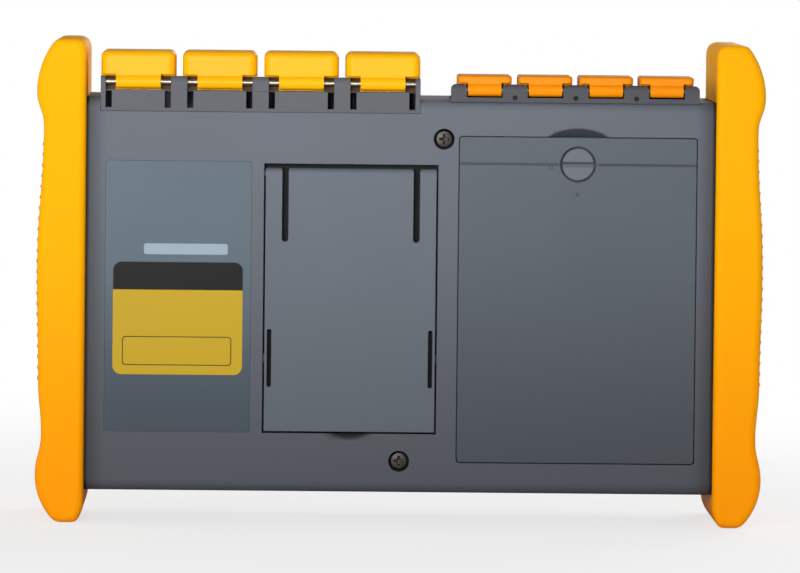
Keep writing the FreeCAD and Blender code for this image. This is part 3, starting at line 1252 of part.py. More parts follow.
def make_seal():
    """The seal that lies in the front shell's rim."""
    groove, high = dim("seal_width"), dim("seal_height")
    mid = (WALL - groove) / 2
    outer = block((mid - CASE_HALF, CASE_HALF - mid), (SPLIT - high, SPLIT),
                  (CASE_LOW + mid, CASE_TOP - mid))
    inner = block((mid + groove - CASE_HALF, CASE_HALF - mid - groove), (SPLIT - high, SPLIT),
                  (CASE_LOW + mid + groove, CASE_TOP - mid - groove))
    keep(cut(outer, [inner]), "case_seal")


# ---------------------------------------------------------------- build, check and write

def check_and_write():
    """Stop on any failed object, then write one STEP file for each sub-part."""
    document.recompute()
    for thing in document.Objects:
        if "Invalid" in thing.State or "Error" in thing.State:
            raise RuntimeError(f"{thing.Label} failed: {thing.State}")
    for result, base in checked_cuts:
        if result.Shape.Volume > base.Shape.Volume - NEAR:
            raise RuntimeError(f"{result.Label} cut nothing from {base.Label}")
    os.makedirs("parts", exist_ok=True)
    for piece in pieces:
        shape = piece.Shape
        if shape.isNull() or not shape.isValid():
            raise RuntimeError(f"{piece.Label} has no valid shape")
        shape.exportStep(os.path.join("parts", piece.Label + ".step"))
    print(len(pieces), "sub-parts written")


def main():
    """Build every sub-part in turn."""
    make_rear_shell()
    shell = pieces.pop()
    shell.Label = "rear_shell_moulding"
    keep(cut_scoops(shell), "rear_shell")
    make_front_shell()
    make_seal()
    make_bumper("bumper_left", -1)
    make_bumper("bumper_right", 1)
    make_stand()
    make_door()
    make_door_lock()
    make_battery()
    make_port_block()
    make_jack_block()
    make_caps()
    make_adapters()
    make_sockets()
    make_boards()
    make_keys()
    make_key_board()
    make_display()
    make_screws()
    make_label()
    check_and_write()


main()
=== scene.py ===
"""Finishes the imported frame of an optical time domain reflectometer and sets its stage."""

import json
import math

import bmesh
import bpy
import numpy as np
from bpy.props import FloatProperty, FloatVectorProperty, PointerProperty
from mathutils import Matrix, Vector

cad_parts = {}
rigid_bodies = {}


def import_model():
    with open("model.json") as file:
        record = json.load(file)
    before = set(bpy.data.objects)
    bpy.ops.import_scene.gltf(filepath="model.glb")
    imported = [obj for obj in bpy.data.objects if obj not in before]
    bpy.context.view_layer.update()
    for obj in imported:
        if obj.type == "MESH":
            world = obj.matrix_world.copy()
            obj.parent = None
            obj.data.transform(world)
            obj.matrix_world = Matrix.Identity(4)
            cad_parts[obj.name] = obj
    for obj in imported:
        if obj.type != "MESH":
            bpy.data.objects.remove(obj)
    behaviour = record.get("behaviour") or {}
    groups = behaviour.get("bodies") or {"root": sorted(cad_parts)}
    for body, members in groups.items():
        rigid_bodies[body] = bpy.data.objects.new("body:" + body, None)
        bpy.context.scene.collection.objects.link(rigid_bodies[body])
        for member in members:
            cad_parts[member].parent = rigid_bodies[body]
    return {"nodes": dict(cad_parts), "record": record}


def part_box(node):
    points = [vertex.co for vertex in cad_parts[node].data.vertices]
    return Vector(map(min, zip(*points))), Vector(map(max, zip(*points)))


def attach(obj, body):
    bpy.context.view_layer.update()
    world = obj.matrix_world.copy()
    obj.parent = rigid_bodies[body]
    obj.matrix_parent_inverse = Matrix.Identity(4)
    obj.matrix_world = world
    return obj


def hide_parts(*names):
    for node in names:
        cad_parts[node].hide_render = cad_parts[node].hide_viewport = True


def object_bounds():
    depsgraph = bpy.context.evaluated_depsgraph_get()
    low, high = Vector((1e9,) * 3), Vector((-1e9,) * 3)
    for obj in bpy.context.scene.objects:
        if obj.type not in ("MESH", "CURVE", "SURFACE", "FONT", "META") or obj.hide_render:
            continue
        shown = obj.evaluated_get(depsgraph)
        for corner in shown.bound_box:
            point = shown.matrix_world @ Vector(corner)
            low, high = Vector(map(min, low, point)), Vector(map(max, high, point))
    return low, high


bl_info = {
    "name": "Fibre Tester Finish",
    "version": (1, 0, 0),
    "blender": (4, 5, 0),
    "location": "3D View > Sidebar > Tester",
    "description": "Finishes the pieces of a handheld fibre tester and sets its stage",
    "category": "Object",
}

for thing in list(bpy.data.objects):
    bpy.data.objects.remove(thing)
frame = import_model()
CAD_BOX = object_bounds()

# Lengths are in metres. Mesh work: how near points merge, which edges stay sharp, get a bevel
# or are flat enough to go, when two sides of an outline cross, and how a bevel is tried.
MERGE = 1e-6
SHARP, BREAK_ANGLE, FLAT_ANGLE = math.radians(32), math.radians(38), math.radians(0.6)
CROSSING_AREA, CROSSING_MARGIN = 1e-18, 1e-4
BEVEL_TRIES, BEVEL_SEGMENTS = 14, 2

# Widths of broken edges.
NO_EDGE, PLATE_EDGE, CERAMIC_EDGE, METAL_EDGE = 0.0, 0.00005, 0.00006, 0.0001
MOULD_EDGE, SHELL_EDGE, PLAIN_EDGE, CAN_EDGE = 0.00012, 0.00015, 0.00018, 0.0003

# The case. Recesses and scoops are left, right, low and high; the stand's slots are offset
# from its middle, half width, low and high; the crease in the door is low and high.
CASE_LOW, CASE_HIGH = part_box("rear_shell")
CASE_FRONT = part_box("front_shell")[0].y
STAND_RECESS = (-0.0131, 0.0476, 0.0316, 0.1255)
DOOR_RECESS = (-0.1031, -0.0199, 0.0217, 0.1357)
DOOR_SCOOP = (-0.0740, -0.0490, 0.1355, 0.1400)
STAND_SCOOP = (0.0060, 0.0285, 0.0270, 0.0318)
STAND_FACE = 0.0335
STAND_SLOTS = ((0.0228, 0.00128, 0.0981, 0.1300), (0.0280, 0.00093, 0.0475, 0.0680))
CREASE = (0.12555, 0.12645)
LOCK_WELL, SCREW_WELL, DIMPLE = 0.0063, 0.00375, 0.00095
RING_PLACE, RING_OUTER, RING_INNER = (0.0095, -0.0011), 0.0008, 0.00045
DOT_PLACE, DOT_RADIUS = (0.0002, -0.0105), 0.00065
# Painted shade along the seams with the bumpers: how far it fades in, and where its dark line
# starts and ends.
SEAM_SHADE, SEAM_DARK, SEAM_LINE = 0.008, 0.0016, 0.0003

# Paint masks: how soft their edges are, the corner of a nearly square one, how much moulded
# plastic is clouded, and the dark colours of painted shade by the bumpers, in the lock's slot
# and in the port block's slots.
MASK_SOFT, SQUARE = 0.00012, 0.0001
MOTTLE = 0.05
WARM_SHADE, LOCK_SLOT_SHADE, PORT_SLOT_SHADE = (1.0, 0.72, 0.55), (0.01, 0.01, 0.012), (0.004, 0.004, 0.005)

# The bumpers: the ribs' lowest place, their drop from the top and where they run out in
# depth, the outline's steps, and the fit, reach and corner of the case's end inside them.
BUMPER_LOW, BUMPER_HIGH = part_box("bumper_right")
RIB_LOW, RIB_DROP, RIB_END, RIB_RUN_OUT = 0.050, 0.035, 0.0335, 0.0012
OUTLINE_STEP, RIBBED_STEP, PLAIN_STEP = 0.00025, 0.0003, 0.0008
HALF_COUNT = 420
FIT, GRIP, END_CORNER = 0.00002, 0.004, 0.0012

# Screws: radius of head and shank by node, the heads' height, and the thread's pitch and step.
SCREWS = {"case_screws": (0.0028, 0.0014), "corner_screws": (0.0020, 0.001)}
HEAD_HEIGHT, THREAD_PITCH, SHANK_STEP = 0.002, 0.0005, 0.00012

# The caps, by the word in their nodes' names: height of the axis, depth of the skirt, half
# widths of tongue and notch, height of the crown under painted shade and how dark it gets.
# The painted shadow behind a pin ends between two heights over the axis and at the depth of
# the rear wall.
CAPS = {"port_cap": (0.1533, 0.0286, 0.0079, 0.0118, 0.003, 0.6),
        "jack_cap": (0.1516, 0.0288, 0.0052, 0.0066, 0.0015, 0.5)}
CAP_COUNT, SHADOW_RISE, REAR_WALL = 4, (0.0019, 0.0021), 0.0312
CAP_SHADOW = (0.075, 0.035, 0.008)
PORT_SLOTS = (0.1443, 0.1503)

# The label's areas as shares of its width and height: left, right, low and high.
PANEL, STRIP = (0.055, 0.945, 0.211, 0.627), (0.16, 0.735, 0.655, 0.695)
EMPTY_BOX, BOX_LINE, BAND_LOW = (0.13, 0.88, 0.245, 0.352), 0.0003, 0.524

# The stage: places of the lamps and the camera and what they look at, and the floor.
KEY_PLACE, KEY_TARGET, KEY_SPREAD = (0.22, 0.84, 0.24), (0.03, 0.034, 0.19), 64.0
SIDE_PLACE, FRONT_PLACE = (1.1, -0.2, 0.36), (-0.45, -0.85, 0.45)
KEY_SIZE, SIDE_SIZE, FRONT_SIZE = (0.5, 0.2), (0.5, 0.5), (0.6, 0.6)
CAMERA_PLACE, CAMERA_TARGET = (0.0443, 2.668, 0.2137), (-0.0006, 0.0, 0.0814)
CAMERA_ROLL = math.radians(0.6)
FLOOR_REACH, FLOOR_DROP = 6.0, 0.0002
WHITE = (1.0, 1.0, 1.0)


# ---------------------------------------------------------------- material building


def adds(operation, reflected=False):
    """A method of a wire that adds one Math node, with its items turned round if reflected."""

    def method(self, *others):
        return self.paint.math(operation, *((*others, self) if reflected else (self, *others)))

    return method


class Wire:
    """One output in a material's tree. Arithmetic on it adds Math nodes.

    Its least and most give the smaller and the larger of two numbers.
    """

    __add__, __radd__ = adds("ADD"), adds("ADD", True)
    __sub__, __rsub__ = adds("SUBTRACT"), adds("SUBTRACT", True)
    __mul__, __rmul__ = adds("MULTIPLY"), adds("MULTIPLY", True)
    __truediv__, __rtruediv__ = adds("DIVIDE"), adds("DIVIDE", True)
    __abs__, __pow__, __round__ = adds("ABSOLUTE"), adds("POWER"), adds("ROUND")
    least, most = adds("MINIMUM"), adds("MAXIMUM")

    def __init__(self, paint, socket):
        self.paint, self.socket = paint, socket

    def fade(self, start, end, low=0.0, high=1.0):
        """Low before start, high after end, and a smooth step between them."""
        return self.paint.node(
            "ShaderNodeMapRange", {"interpolation_type": "SMOOTHSTEP"},
            {"Value": self, "From Min": start, "From Max": end, "To Min": low, "To Max": high},
        )["Result"]


class Nodes:
    """A tree of nodes being put together."""

    def __init__(self, tree):
        self.tree = tree

    def put(self, socket, value):
        """Links a wire to a socket, or writes a plain value on it."""
        if isinstance(value, Wire):
            self.tree.links.new(value.socket, socket)
        elif socket.type == "RGBA":
            socket.default_value = tuple(value)[:3] + (1.0,)
        else:
            socket.default_value = value

    def node(self, kind, settings=None, values=None):
        """Adds a node with its settings and its inputs by name; returns its outputs."""
        made = self.tree.nodes.new(kind)
        for word, value in (settings or {}).items():
            setattr(made, word, value)
        for word, value in (values or {}).items():
            self.put(next(s for s in made.inputs if s.name == word and s.enabled), value)
        return {s.name: Wire(self, s) for s in made.outputs if s.enabled}

    def math(self, operation, *items):
        """A Math node over wires and numbers."""
        made = self.tree.nodes.new("ShaderNodeMath")
        made.operation = operation
        for socket, item in zip(made.inputs, items):
            self.put(socket, item)
        return Wire(self, made.outputs[0])

    def blend(self, share, first, second):
        """A colour that goes from the first to the second as the share goes from 0 to 1."""
        return self.node(
            "ShaderNodeMix", {"data_type": "RGBA"}, {"Factor": share, "A": first, "B": second}
        )["Result"]


class Paint(Nodes):
    """A material being put together on the object's own coordinates."""

    def __init__(self, name, colour, roughness, metallic=0.0, coat=0.0, shine=0.5):
        self.material = bpy.data.materials.new(name)
        self.material.use_nodes = True
        super().__init__(self.material.node_tree)
        self.shader = self.tree.nodes["Principled BSDF"]
        plain = {"Base Color": colour, "Roughness": roughness, "Metallic": metallic,
                 "Coat Weight": coat, "Specular IOR Level": shine}
        for word, value in plain.items():
            self.set(word, value)
        self.place = self.node("ShaderNodeTexCoord")["Object"]
        parts = self.node("ShaderNodeSeparateXYZ", values={"Vector": self.place})
        self.x, self.y, self.z = parts["X"], parts["Y"], parts["Z"]

    def set(self, word, value):
        """Gives one of the shader's inputs a wire or a value."""
        self.put(self.shader.inputs[word], value)

    def noise(self, scale, detail=2.0, stretch=(1.0, 1.0, 1.0)):
        """Noise from 0 to 1, so many cells to the metre, drawn out along the axes if asked."""
        place = self.node("ShaderNodeMapping", values={"Vector": self.place, "Scale": stretch})
        return self.node(
            "ShaderNodeTexNoise",
            values={"Vector": place["Vector"], "Scale": scale, "Detail": detail},
        )["Fac"]

    def finish(self, colour, roughness, height=None, depth=0.0):
        """Sets what changes over the surface, with a bump of this depth if it has a height."""
        self.set("Base Color", colour)
        self.set("Roughness", roughness)
        if height is not None:
            bump = self.node("ShaderNodeBump", values={"Height": height, "Distance": depth})
            self.set("Normal", bump["Normal"])
        return self.material

    def frame_mask(self, left, right, low, high, corner):
        """One inside a round-cornered rectangle in X and Z and nought outside it."""
        across = abs(self.x - (left + right) / 2) - ((right - left) / 2 - corner)
        upright = abs(self.z - (low + high) / 2) - ((high - low) / 2 - corner)
        reach_x, reach_z = across.most(0.0), upright.most(0.0)
        outside = (reach_x * reach_x + reach_z * reach_z) ** 0.5
        distance = outside + across.most(upright).least(0.0) - corner
        return distance.fade(-MASK_SOFT, MASK_SOFT, 1.0, 0.0)

    def round_mask(self, x, z, radius):
        """One inside a circle in X and Z and nought outside it."""
        away = ((self.x - x) ** 2 + (self.z - z) ** 2) ** 0.5
        return away.fade(radius - MASK_SOFT, radius + MASK_SOFT, 1.0, 0.0)

    def under(self, level, soft=0.0004):
        """One where the surface lies further in along Y than a level, nought above it."""
        return self.y.fade(level - soft, level, 1.0, 0.0)


def scaled(colour, factor):
    """A colour made lighter or darker, kept between 0 and 1."""
    return tuple(min(1.0, max(0.0, c * factor)) for c in tuple(colour)[:3])


def linear(red, green, blue):
    """A screen colour from 0 to 255 as the shader's own numbers."""
    share = np.array([red, green, blue]) / 255.0
    value = np.where(share <= 0.04045, share / 12.92, ((share + 0.055) / 1.055) ** 2.4)
    return tuple(float(v) for v in value)


def moulded(name, colour, roughness, grain=2600.0, depth=0.00005, shine=0.12, foot=1.0,
            shade_and_print=None):
    """Moulded plastic: a fine spark-eroded grain, faint clouding, uneven sheen and, where a foot is
    given, painted shade towards the bottom.
    """
    paint = Paint(name, colour, roughness, shine=shine)
    cloud = paint.noise(22.0, 3.0)
    speck = paint.noise(grain, 1.5)
    share = cloud.fade(0.25, 0.75) * 0.7 + speck.fade(0.3, 0.7) * 0.3
    shade = paint.blend(share, scaled(colour, 1 - MOTTLE), scaled(colour, 1 + MOTTLE))
    # Painted shade: the colour darkens towards the bottom, down to the foot's share of itself.
    if foot < 1.0:
        rise = (paint.z - CAD_BOX[0].z) / (CAD_BOX[1].z - CAD_BOX[0].z)
        shade = paint.blend(rise.fade(0.0, 0.8), scaled(colour, foot), shade)
    # Each part's painted shade, and its print where it has any, goes on here.
    shade = shade_and_print(paint, shade) if shade_and_print else shade
    sheen = roughness + (cloud - 0.5) * 0.16 + (speck - 0.5) * 0.1
    return paint.finish(shade, sheen, speck, depth)


def shell_shade(paint, shade):
    """The shell's colour, with painted shade in its recesses, wells and scoops and by the bumpers.
    """
    colour, back = look("case").shell_colour, CASE_HIGH.y
    dark, seam_shade_colour = scaled(colour, 0.03), scaled(WARM_SHADE, 0.012)
    # Painted shade: full down the stand's recess, a quarter in the battery door's recess, on the
    # rear only.
    wells = paint.frame_mask(*DOOR_RECESS, 0.0012) * 0.25
    recess = paint.frame_mask(*STAND_RECESS, 0.0004).most(wells)
    rear = paint.y.fade(0.0, 0.001)
    shade = paint.blend(recess * rear * paint.under(back - 0.0008, 0.0018), shade, dark)
    # Painted shade down the wells of the case screws.
    for x, z in screw_places("case_screws"):
        well = paint.round_mask(x, z, SCREW_WELL) * rear
        shade = paint.blend(well * paint.under(back - 0.0002), shade, dark)
    # Painted shade in the scoops above the door and under the stand.
    for scoop, depth, soft, most in ((DOOR_SCOOP, 0.0001, 0.0005, 0.7),
                                     (STAND_SCOOP, 0.0006, 0.001, 0.85)):
        share = paint.frame_mask(*scoop, SQUARE) * paint.under(back - depth, soft)
        shade = paint.blend(share * rear * most, shade, dark)
    # Painted shade along the seams with the bumpers, tinted warm as a painted reflection of the
    # orange rubber.
    reach, near = abs(paint.x), BUMPER_LOW.x
    line = reach.fade(near - SEAM_DARK, near - SEAM_LINE)
    seam = reach.fade(near - SEAM_SHADE, near) * 0.5 + line * 0.5
    return paint.blend(seam, shade, seam_shade_colour)


def stand_shade(paint, shade):
    """The stand's colour, with painted shade down the walls of its slots."""
    dark, middle = scaled(look("case").door_colour, 0.02), (STAND_RECESS[0] + STAND_RECESS[1]) / 2
    for side in (-1, 1):
        for offset, half, low, high in STAND_SLOTS:
            x = middle + side * offset
            # Painted shade down the walls of each slot.
            slot = paint.frame_mask(x - half, x + half, low, high, half)
            shade = paint.blend(slot * paint.under(STAND_FACE - 0.0003), shade, dark)
    return shade


def door_shade(paint, shade):
    """The door's colour: painted shade round the lock and in its crease, a printed ring and dot."""
    colour, back = look("case").door_colour, CASE_HIGH.y
    dark, mark = scaled(colour, 0.38), scaled(colour, 0.45)
    low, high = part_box("door_lock_screw")
    x, z = (low.x + high.x) / 2, (low.z + high.z) / 2
    # Painted shade in the well round the lock.
    well = paint.round_mask(x, z, LOCK_WELL) * paint.under(back - 0.0005)
    shade = paint.blend(well, shade, dark)
    ring_x, ring_z = x + RING_PLACE[0], z + RING_PLACE[1]
    ring = (paint.round_mask(ring_x, ring_z, RING_OUTER)
            - paint.round_mask(ring_x, ring_z, RING_INNER))
    dot = paint.round_mask(x + DOT_PLACE[0], z + DOT_PLACE[1], DOT_RADIUS)
    face = paint.y.fade(back - 0.0009, back - 0.0006)
    # Painted shade along the crease, carried across the door's whole width.
    low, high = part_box("battery_door")
    line = paint.frame_mask(low.x, high.x, *CREASE, SQUARE)
    shade = paint.blend(line * face * 0.55, shade, dark)
    return paint.blend(ring.most(dot) * face, shade, mark)


def lock_shade(paint, shade):
    """The lock's colour, with painted shade along the floor of its slot, deeper in its upper half.
    """
    low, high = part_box("door_lock_screw")
    middle = (low.z + high.z) / 2
    # Painted shade on the slot's floor, stronger above the middle.
    upper = paint.z.fade(middle - 0.0002, middle + 0.0002, 0.2, 0.65)
    return paint.blend(paint.under(high.y - 0.00025, 0.0002) * upper, shade, LOCK_SLOT_SHADE)


def port_shade(paint, shade):
    """The port block's colour, with near-black painted shade down the slots under its lugs."""
    low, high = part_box("port_block")
    # Painted shade down the slots, below the block's back face.
    slots = paint.frame_mask(low.x + 0.001, high.x - 0.001, *PORT_SLOTS, SQUARE)
    slots = slots * paint.y.fade(high.y - 0.0048, high.y - 0.0042)
    return paint.blend(slots * paint.under(high.y - 0.0001, 0.0003), shade, PORT_SLOT_SHADE)


def jack_shade(paint, shade):
    """The socket block's colour, with painted shade in the dimples of its shared lugs."""
    low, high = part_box("jack_block")
    places = [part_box(name) for name in row_names("jack_cap")]
    # Painted shade in the dimple of each shared lug.
    dark = scaled(look("case").block_colour, 0.15)
    for first, second in zip(places, places[1:]):
        dimple = paint.round_mask((first[0].x + second[1].x) / 2, CASE_HIGH.z + 0.001, DIMPLE)
        shade = paint.blend(dimple * paint.under(high.y - 0.0001, 0.0003), shade, dark)
    return shade


def row_names(word):
    """The four nodes in a row of like pieces."""
    return [f"{word}_{number}" for number in range(1, CAP_COUNT + 1)]


def cap_shade(word, colour):
    """What shades a row of caps: painted shade over the crown and a brown painted shadow behind its
    pins.

    The shadow lies on the outside of a cap's rear wall where it shows past its knuckle.
    """
    axis, skirt, half_tongue, half_notch, crown, crown_shade = CAPS[word]
    boxes = [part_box(name) for name in row_names(word)]
    first, last = [(low.x + high.x) / 2 for low, high in (boxes[0], boxes[-1])]
    pitch, top = (last - first) / (CAP_COUNT - 1), boxes[0][1].z

    def shaded(paint, shade):
        lane = (paint.x - first) / pitch
        away = abs(lane - round(lane)) * abs(pitch)
        window = (away.fade(half_tongue - 0.0001, half_tongue)
                  * away.fade(half_notch, half_notch + 0.0001, 1.0, 0.0))
        low = paint.z.fade(axis + SHADOW_RISE[0], axis + SHADOW_RISE[1], 1.0, 0.0)
        share = window * low * paint.y.fade(skirt - 0.0005, skirt - 0.0003)
        share = share * paint.under(REAR_WALL)
        # Painted shade over the crown.
        shade = paint.blend(paint.z.fade(top - crown, top) * 0.5, shade, scaled(colour, crown_shade))
        return paint.blend(share, shade, CAP_SHADOW)

    return shaded


def screw_places(node):
    """The middles in X and Z of a node's screws: two across its box, or four in its corners."""
    low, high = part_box(node)
    inset = Vector((SCREWS[node][0], 0, SCREWS[node][0]))
    near, far = low + inset, high - inset
    places = [(near.x, far.z), (far.x, near.z)]
    return places + [(near.x, near.z), (far.x, far.z)] if node == "corner_screws" else places


def rubber(name, low_colour, top_colour, low, high):
    """Bumper rubber: painted shade, darker and warmer towards its foot, a fine matt skin and worn,
    smoother patches.
    """
    paint = Paint(name, top_colour, 0.48, shine=0.03)
    rise = (paint.z - low) / (high - low)
    # Painted shade: the colour goes from the lower to the upper colour up the bumper.
    body = paint.blend(rise.fade(0.0, 0.75), low_colour, top_colour)
    cloud = paint.noise(30.0, 3.0)
    skin = paint.noise(1900.0, 2.0)
    shade = paint.blend(cloud.fade(0.35, 0.8, 0.0, 0.16), body, scaled(top_colour, 0.86))
    sheen = 0.44 + cloud.fade(0.3, 0.7) * 0.14 + (skin - 0.5) * 0.1
    return paint.finish(shade, sheen, skin, 0.00006)


def metal(name, colour, roughness, stretch=(1.0, 1.0, 1.0), worn=0.12, metallic=1.0):
    """Metal with tool lines drawn out along one axis and uneven sheen."""
    paint = Paint(name, colour, roughness, metallic)
    lines = paint.noise(900.0, 3.0, stretch)
    cloud = paint.noise(160.0, 2.0)
    shade = paint.blend(lines.fade(0.3, 0.7), scaled(colour, 1 - worn), scaled(colour, 1 + worn))
    sheen = roughness + (lines - 0.5) * 0.2 + (cloud - 0.5) * 0.12
    return paint.finish(shade, sheen, lines, 0.00002)


def board_laminate(name, colour):
    """Circuit board: masked copper tracks as a lighter grid under a glossy green skin."""
    paint = Paint(name, colour, 0.35, coat=0.3)
    cells = paint.node(
        "ShaderNodeTexVoronoi", {"distance": "MANHATTAN", "feature": "F1"},
        {"Vector": paint.place, "Scale": 320.0},
    )["Distance"]
    tracks = cells.fade(0.34, 0.38)
    shade = paint.blend(tracks, colour, scaled(colour, 1.9))
    return paint.finish(shade, 0.32 + paint.noise(300.0) * 0.14, tracks, 0.00003)


def foam(name, colour):
    """Seal rubber: closed cells with a dull, pitted skin."""
    paint = Paint(name, colour, 0.8)
    cells = paint.noise(1400.0, 3.0)
    shade = paint.blend(cells, scaled(colour, 0.6), scaled(colour, 1.5))
    return paint.finish(shade, 0.72 + cells * 0.2, cells, 0.0001)


def cover_glass(name, colour, window):
    """Cover glass printed black round its edge, a shade lighter over the unlit screen."""
    paint = Paint(name, colour, 0.07, coat=0.5)
    smear = paint.noise(40.0, 4.0)
    view = paint.frame_mask(*window, 0.0015)
    glass = paint.blend(view, scaled(colour, 0.45), colour)
    shade = paint.blend(smear.fade(0.5, 0.9, 0.0, 0.2), glass, scaled(colour, 1.6))
    return paint.finish(shade, 0.05 + smear.fade(0.4, 0.8) * 0.1)


def printed_label(name, look, plate):
    """Label plate: a plain header strip, a dark band over a yellow panel and an empty box."""
    left, right, low, high = plate
    paint = Paint(name, look.plate_colour, 0.36, shine=0.12)
    grain = paint.noise(1500.0, 2.0)
    cloud = paint.noise(35.0, 3.0)
    across, rise = right - left, high - low

    def area(start, end, foot, top):
        return left + across * start, left + across * end, low + rise * foot, low + rise * top

    light, bright, foot = (scaled(look.plate_colour, factor) for factor in (1.14, 1.24, 0.64))
    colour = paint.blend(cloud.fade(0.3, 0.75), light, bright)
    # Painted shade: the plate darkens towards its bottom.
    colour = paint.blend(paint.z.fade(high - rise * 0.3, low), colour, foot)
    box = area(*EMPTY_BOX)
    inner = (box[0] + BOX_LINE, box[1] - BOX_LINE, box[2] + BOX_LINE, box[3] - BOX_LINE)
    whole = paint.frame_mask(*area(*PANEL), 0.003)
    band_low = low + rise * BAND_LOW
    upper = paint.z.fade(band_low - 0.0001, band_low + 0.0001)
    outline = paint.frame_mask(*box, 0.0012) - paint.frame_mask(*inner, 0.001)
    fill = paint.blend(upper, look.panel_colour, look.band_colour)
    fill = paint.blend(outline * (1 - upper), fill, look.band_colour)
    colour = paint.blend(paint.frame_mask(*area(*STRIP), 0.0008), colour, look.strip_colour)
    sheen = 0.34 + (cloud - 0.5) * 0.12 + (grain - 0.5) * 0.1
    return paint.finish(paint.blend(whole, colour, fill), sheen, grain * 0.4 + whole * 0.6, 0.00003)


# ---------------------------------------------------------------- mesh building


def surface_mesh(name, points, faces):
    """A new mesh from arrays of points and faces."""
    mesh = bpy.data.meshes.new(name)
    mesh.from_pydata(points, [], faces)
    return mesh


def linked(name, data):
    """A new object in the scene."""
    made = bpy.data.objects.new(name, data)
    bpy.context.scene.collection.objects.link(made)
    return made


def welded(mesh):
    """An open copy of a mesh with its doubles merged."""
    skin = bmesh.new()
    skin.from_mesh(mesh)
    bmesh.ops.remove_doubles(skin, verts=skin.verts, dist=MERGE)
    return skin


def shown(name, mesh, skin, material):
    """Closes the open copy into the mesh, gives it material and shading and makes its object."""
    skin.to_mesh(mesh)
    skin.free()
    mesh.materials.clear()
    mesh.materials.append(material)
    mesh.shade_smooth()
    mesh.set_sharp_from_angle(angle=SHARP)
    return linked(name, mesh)


def evaluated(made):
    """An object's mesh with its modifiers worked in."""
    scene_graph = bpy.context.evaluated_depsgraph_get()
    return bpy.data.meshes.new_from_object(made.evaluated_get(scene_graph))


def piece(name, points, faces, material, body):
    """A new object from arrays, welded, its faces turned outwards, riding on a body."""
    mesh = surface_mesh(name, points, faces)
    skin = welded(mesh)
    bmesh.ops.recalc_face_normals(skin, faces=skin.faces)
    made = shown(name, mesh, skin, material)
    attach(made, body)
    return made


def node_body(node):
    """The body that a node rides on."""
    return next(b for b, held in frame["record"]["behaviour"]["bodies"].items() if node in held)


def crossings(outline):
    """Where a closed flat outline crosses itself.

    Two sides cross where each one's share, the ratio of two cross products, lies
    between nought and one for both.
    """
    start, way = outline, np.roll(outline, -1, axis=0) - outline

    def cross(first, second):
        return first[..., 0] * second[..., 1] - first[..., 1] * second[..., 0]

    gap = start[None, :] - start[:, None]
    area = cross(way[:, None], way[None, :])
    area = np.where(np.abs(area) < CROSSING_AREA, np.inf, area)
    first, second = cross(gap, way[None, :]) / area, cross(gap, way[:, None]) / area
    low, high = CROSSING_MARGIN, 1 - CROSSING_MARGIN
    both = (first > low) & (first < high) & (second > low) & (second < high)
    rows, columns = np.nonzero(np.triu(both))
    return start[rows] + way[rows] * first[rows, columns, None]


def spoiled_spots(mesh):
    """Where faces are folded over: their triangles turn away from them or their outlines cross."""
    mesh.calc_loop_triangles()
    count, faces = len(mesh.loop_triangles), len(mesh.polygons)
    owner, turned = np.empty(count, int), np.empty(count * 3)
    normal = np.empty(faces * 3)
    mesh.loop_triangles.foreach_get("polygon_index", owner)
    mesh.loop_triangles.foreach_get("normal", turned)
    mesh.polygons.foreach_get("normal", normal)
    normal = normal.reshape(-1, 3)
    agree = (turned.reshape(-1, 3) * normal[owner]).sum(axis=1)
    spots = []
    for index in np.unique(owner[agree < 0.5]):
        face = mesh.polygons[int(index)]
        points = np.array([mesh.vertices[v].co for v in face.vertices])
        flat = Vector(normal[index]).to_track_quat("Z", "Y").to_matrix()
        across = points @ np.array(flat)
        found = crossings(across[:, :2])
        if len(found):
            level = np.full((len(found), 1), across[:, 2].mean())
            spots.append(np.hstack([found, level]) @ np.array(flat).T)
        else:
            spots.append(points if len(points) < 8 else points[:0])
    return np.vstack(spots) if spots else np.zeros((0, 3))


def break_edges(made, width):
    """Bevels the outer hard edges and leaves those alone where the bevel would fold a face."""
    mesh = made.data
    skin = bmesh.new()
    skin.from_mesh(mesh)
    hard = [e.calc_face_angle_signed(0.0) > BREAK_ANGLE for e in skin.edges]
    skin.free()
    weight = np.array(hard, float)
    store = mesh.attributes.new("bevel_weight_edge", "FLOAT", "EDGE")
    bevel = made.modifiers.new("broken_edges", "BEVEL")
    bevel.limit_method = "WEIGHT"
    bevel.width, bevel.segments = width, BEVEL_SEGMENTS
    bevel.use_clamp_overlap, bevel.loop_slide = False, False
    bevel.miter_outer = "MITER_ARC"
    ends = np.array([[mesh.vertices[v].co for v in edge.vertices] for edge in mesh.edges])
    start, way = ends[:, 0], ends[:, 1] - ends[:, 0]
    length = np.maximum((way * way).sum(axis=1), MERGE * MERGE)
    for _ in range(BEVEL_TRIES):
        store.data.foreach_set("value", weight.astype(np.float32))
        mesh.update_tag()
        made.update_tag()
        shaped = evaluated(made)
        spots = spoiled_spots(shaped)
        bpy.data.meshes.remove(shaped)
        if not len(spots):
            return
        for spot in spots:
            share = np.clip(((spot - start) * way).sum(axis=1) / length, 0.0, 1.0)
            away = np.linalg.norm(start + way * share[:, None] - spot, axis=1)
            weight[away < 3 * width] = 0.0
    made.modifiers.remove(bevel)


def dress(node, material, edge=PLAIN_EDGE):
    """Stands a welded copy of a node in its place, its hard edges broken by a small bevel."""
    mesh = frame["nodes"][node].data.copy()
    skin = welded(mesh)
    bmesh.ops.dissolve_limit(
        skin, angle_limit=FLAT_ANGLE, use_dissolve_boundaries=False,
        verts=skin.verts, edges=skin.edges, delimit={"NORMAL"},
    )
    made = shown(node + "_skin", mesh, skin, material)
    if edge:
        break_edges(made, edge)
    level = made.modifiers.new("level_shading", "WEIGHTED_NORMAL")
    level.keep_sharp = True
    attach(made, node_body(node))
    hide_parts(node)
    return made


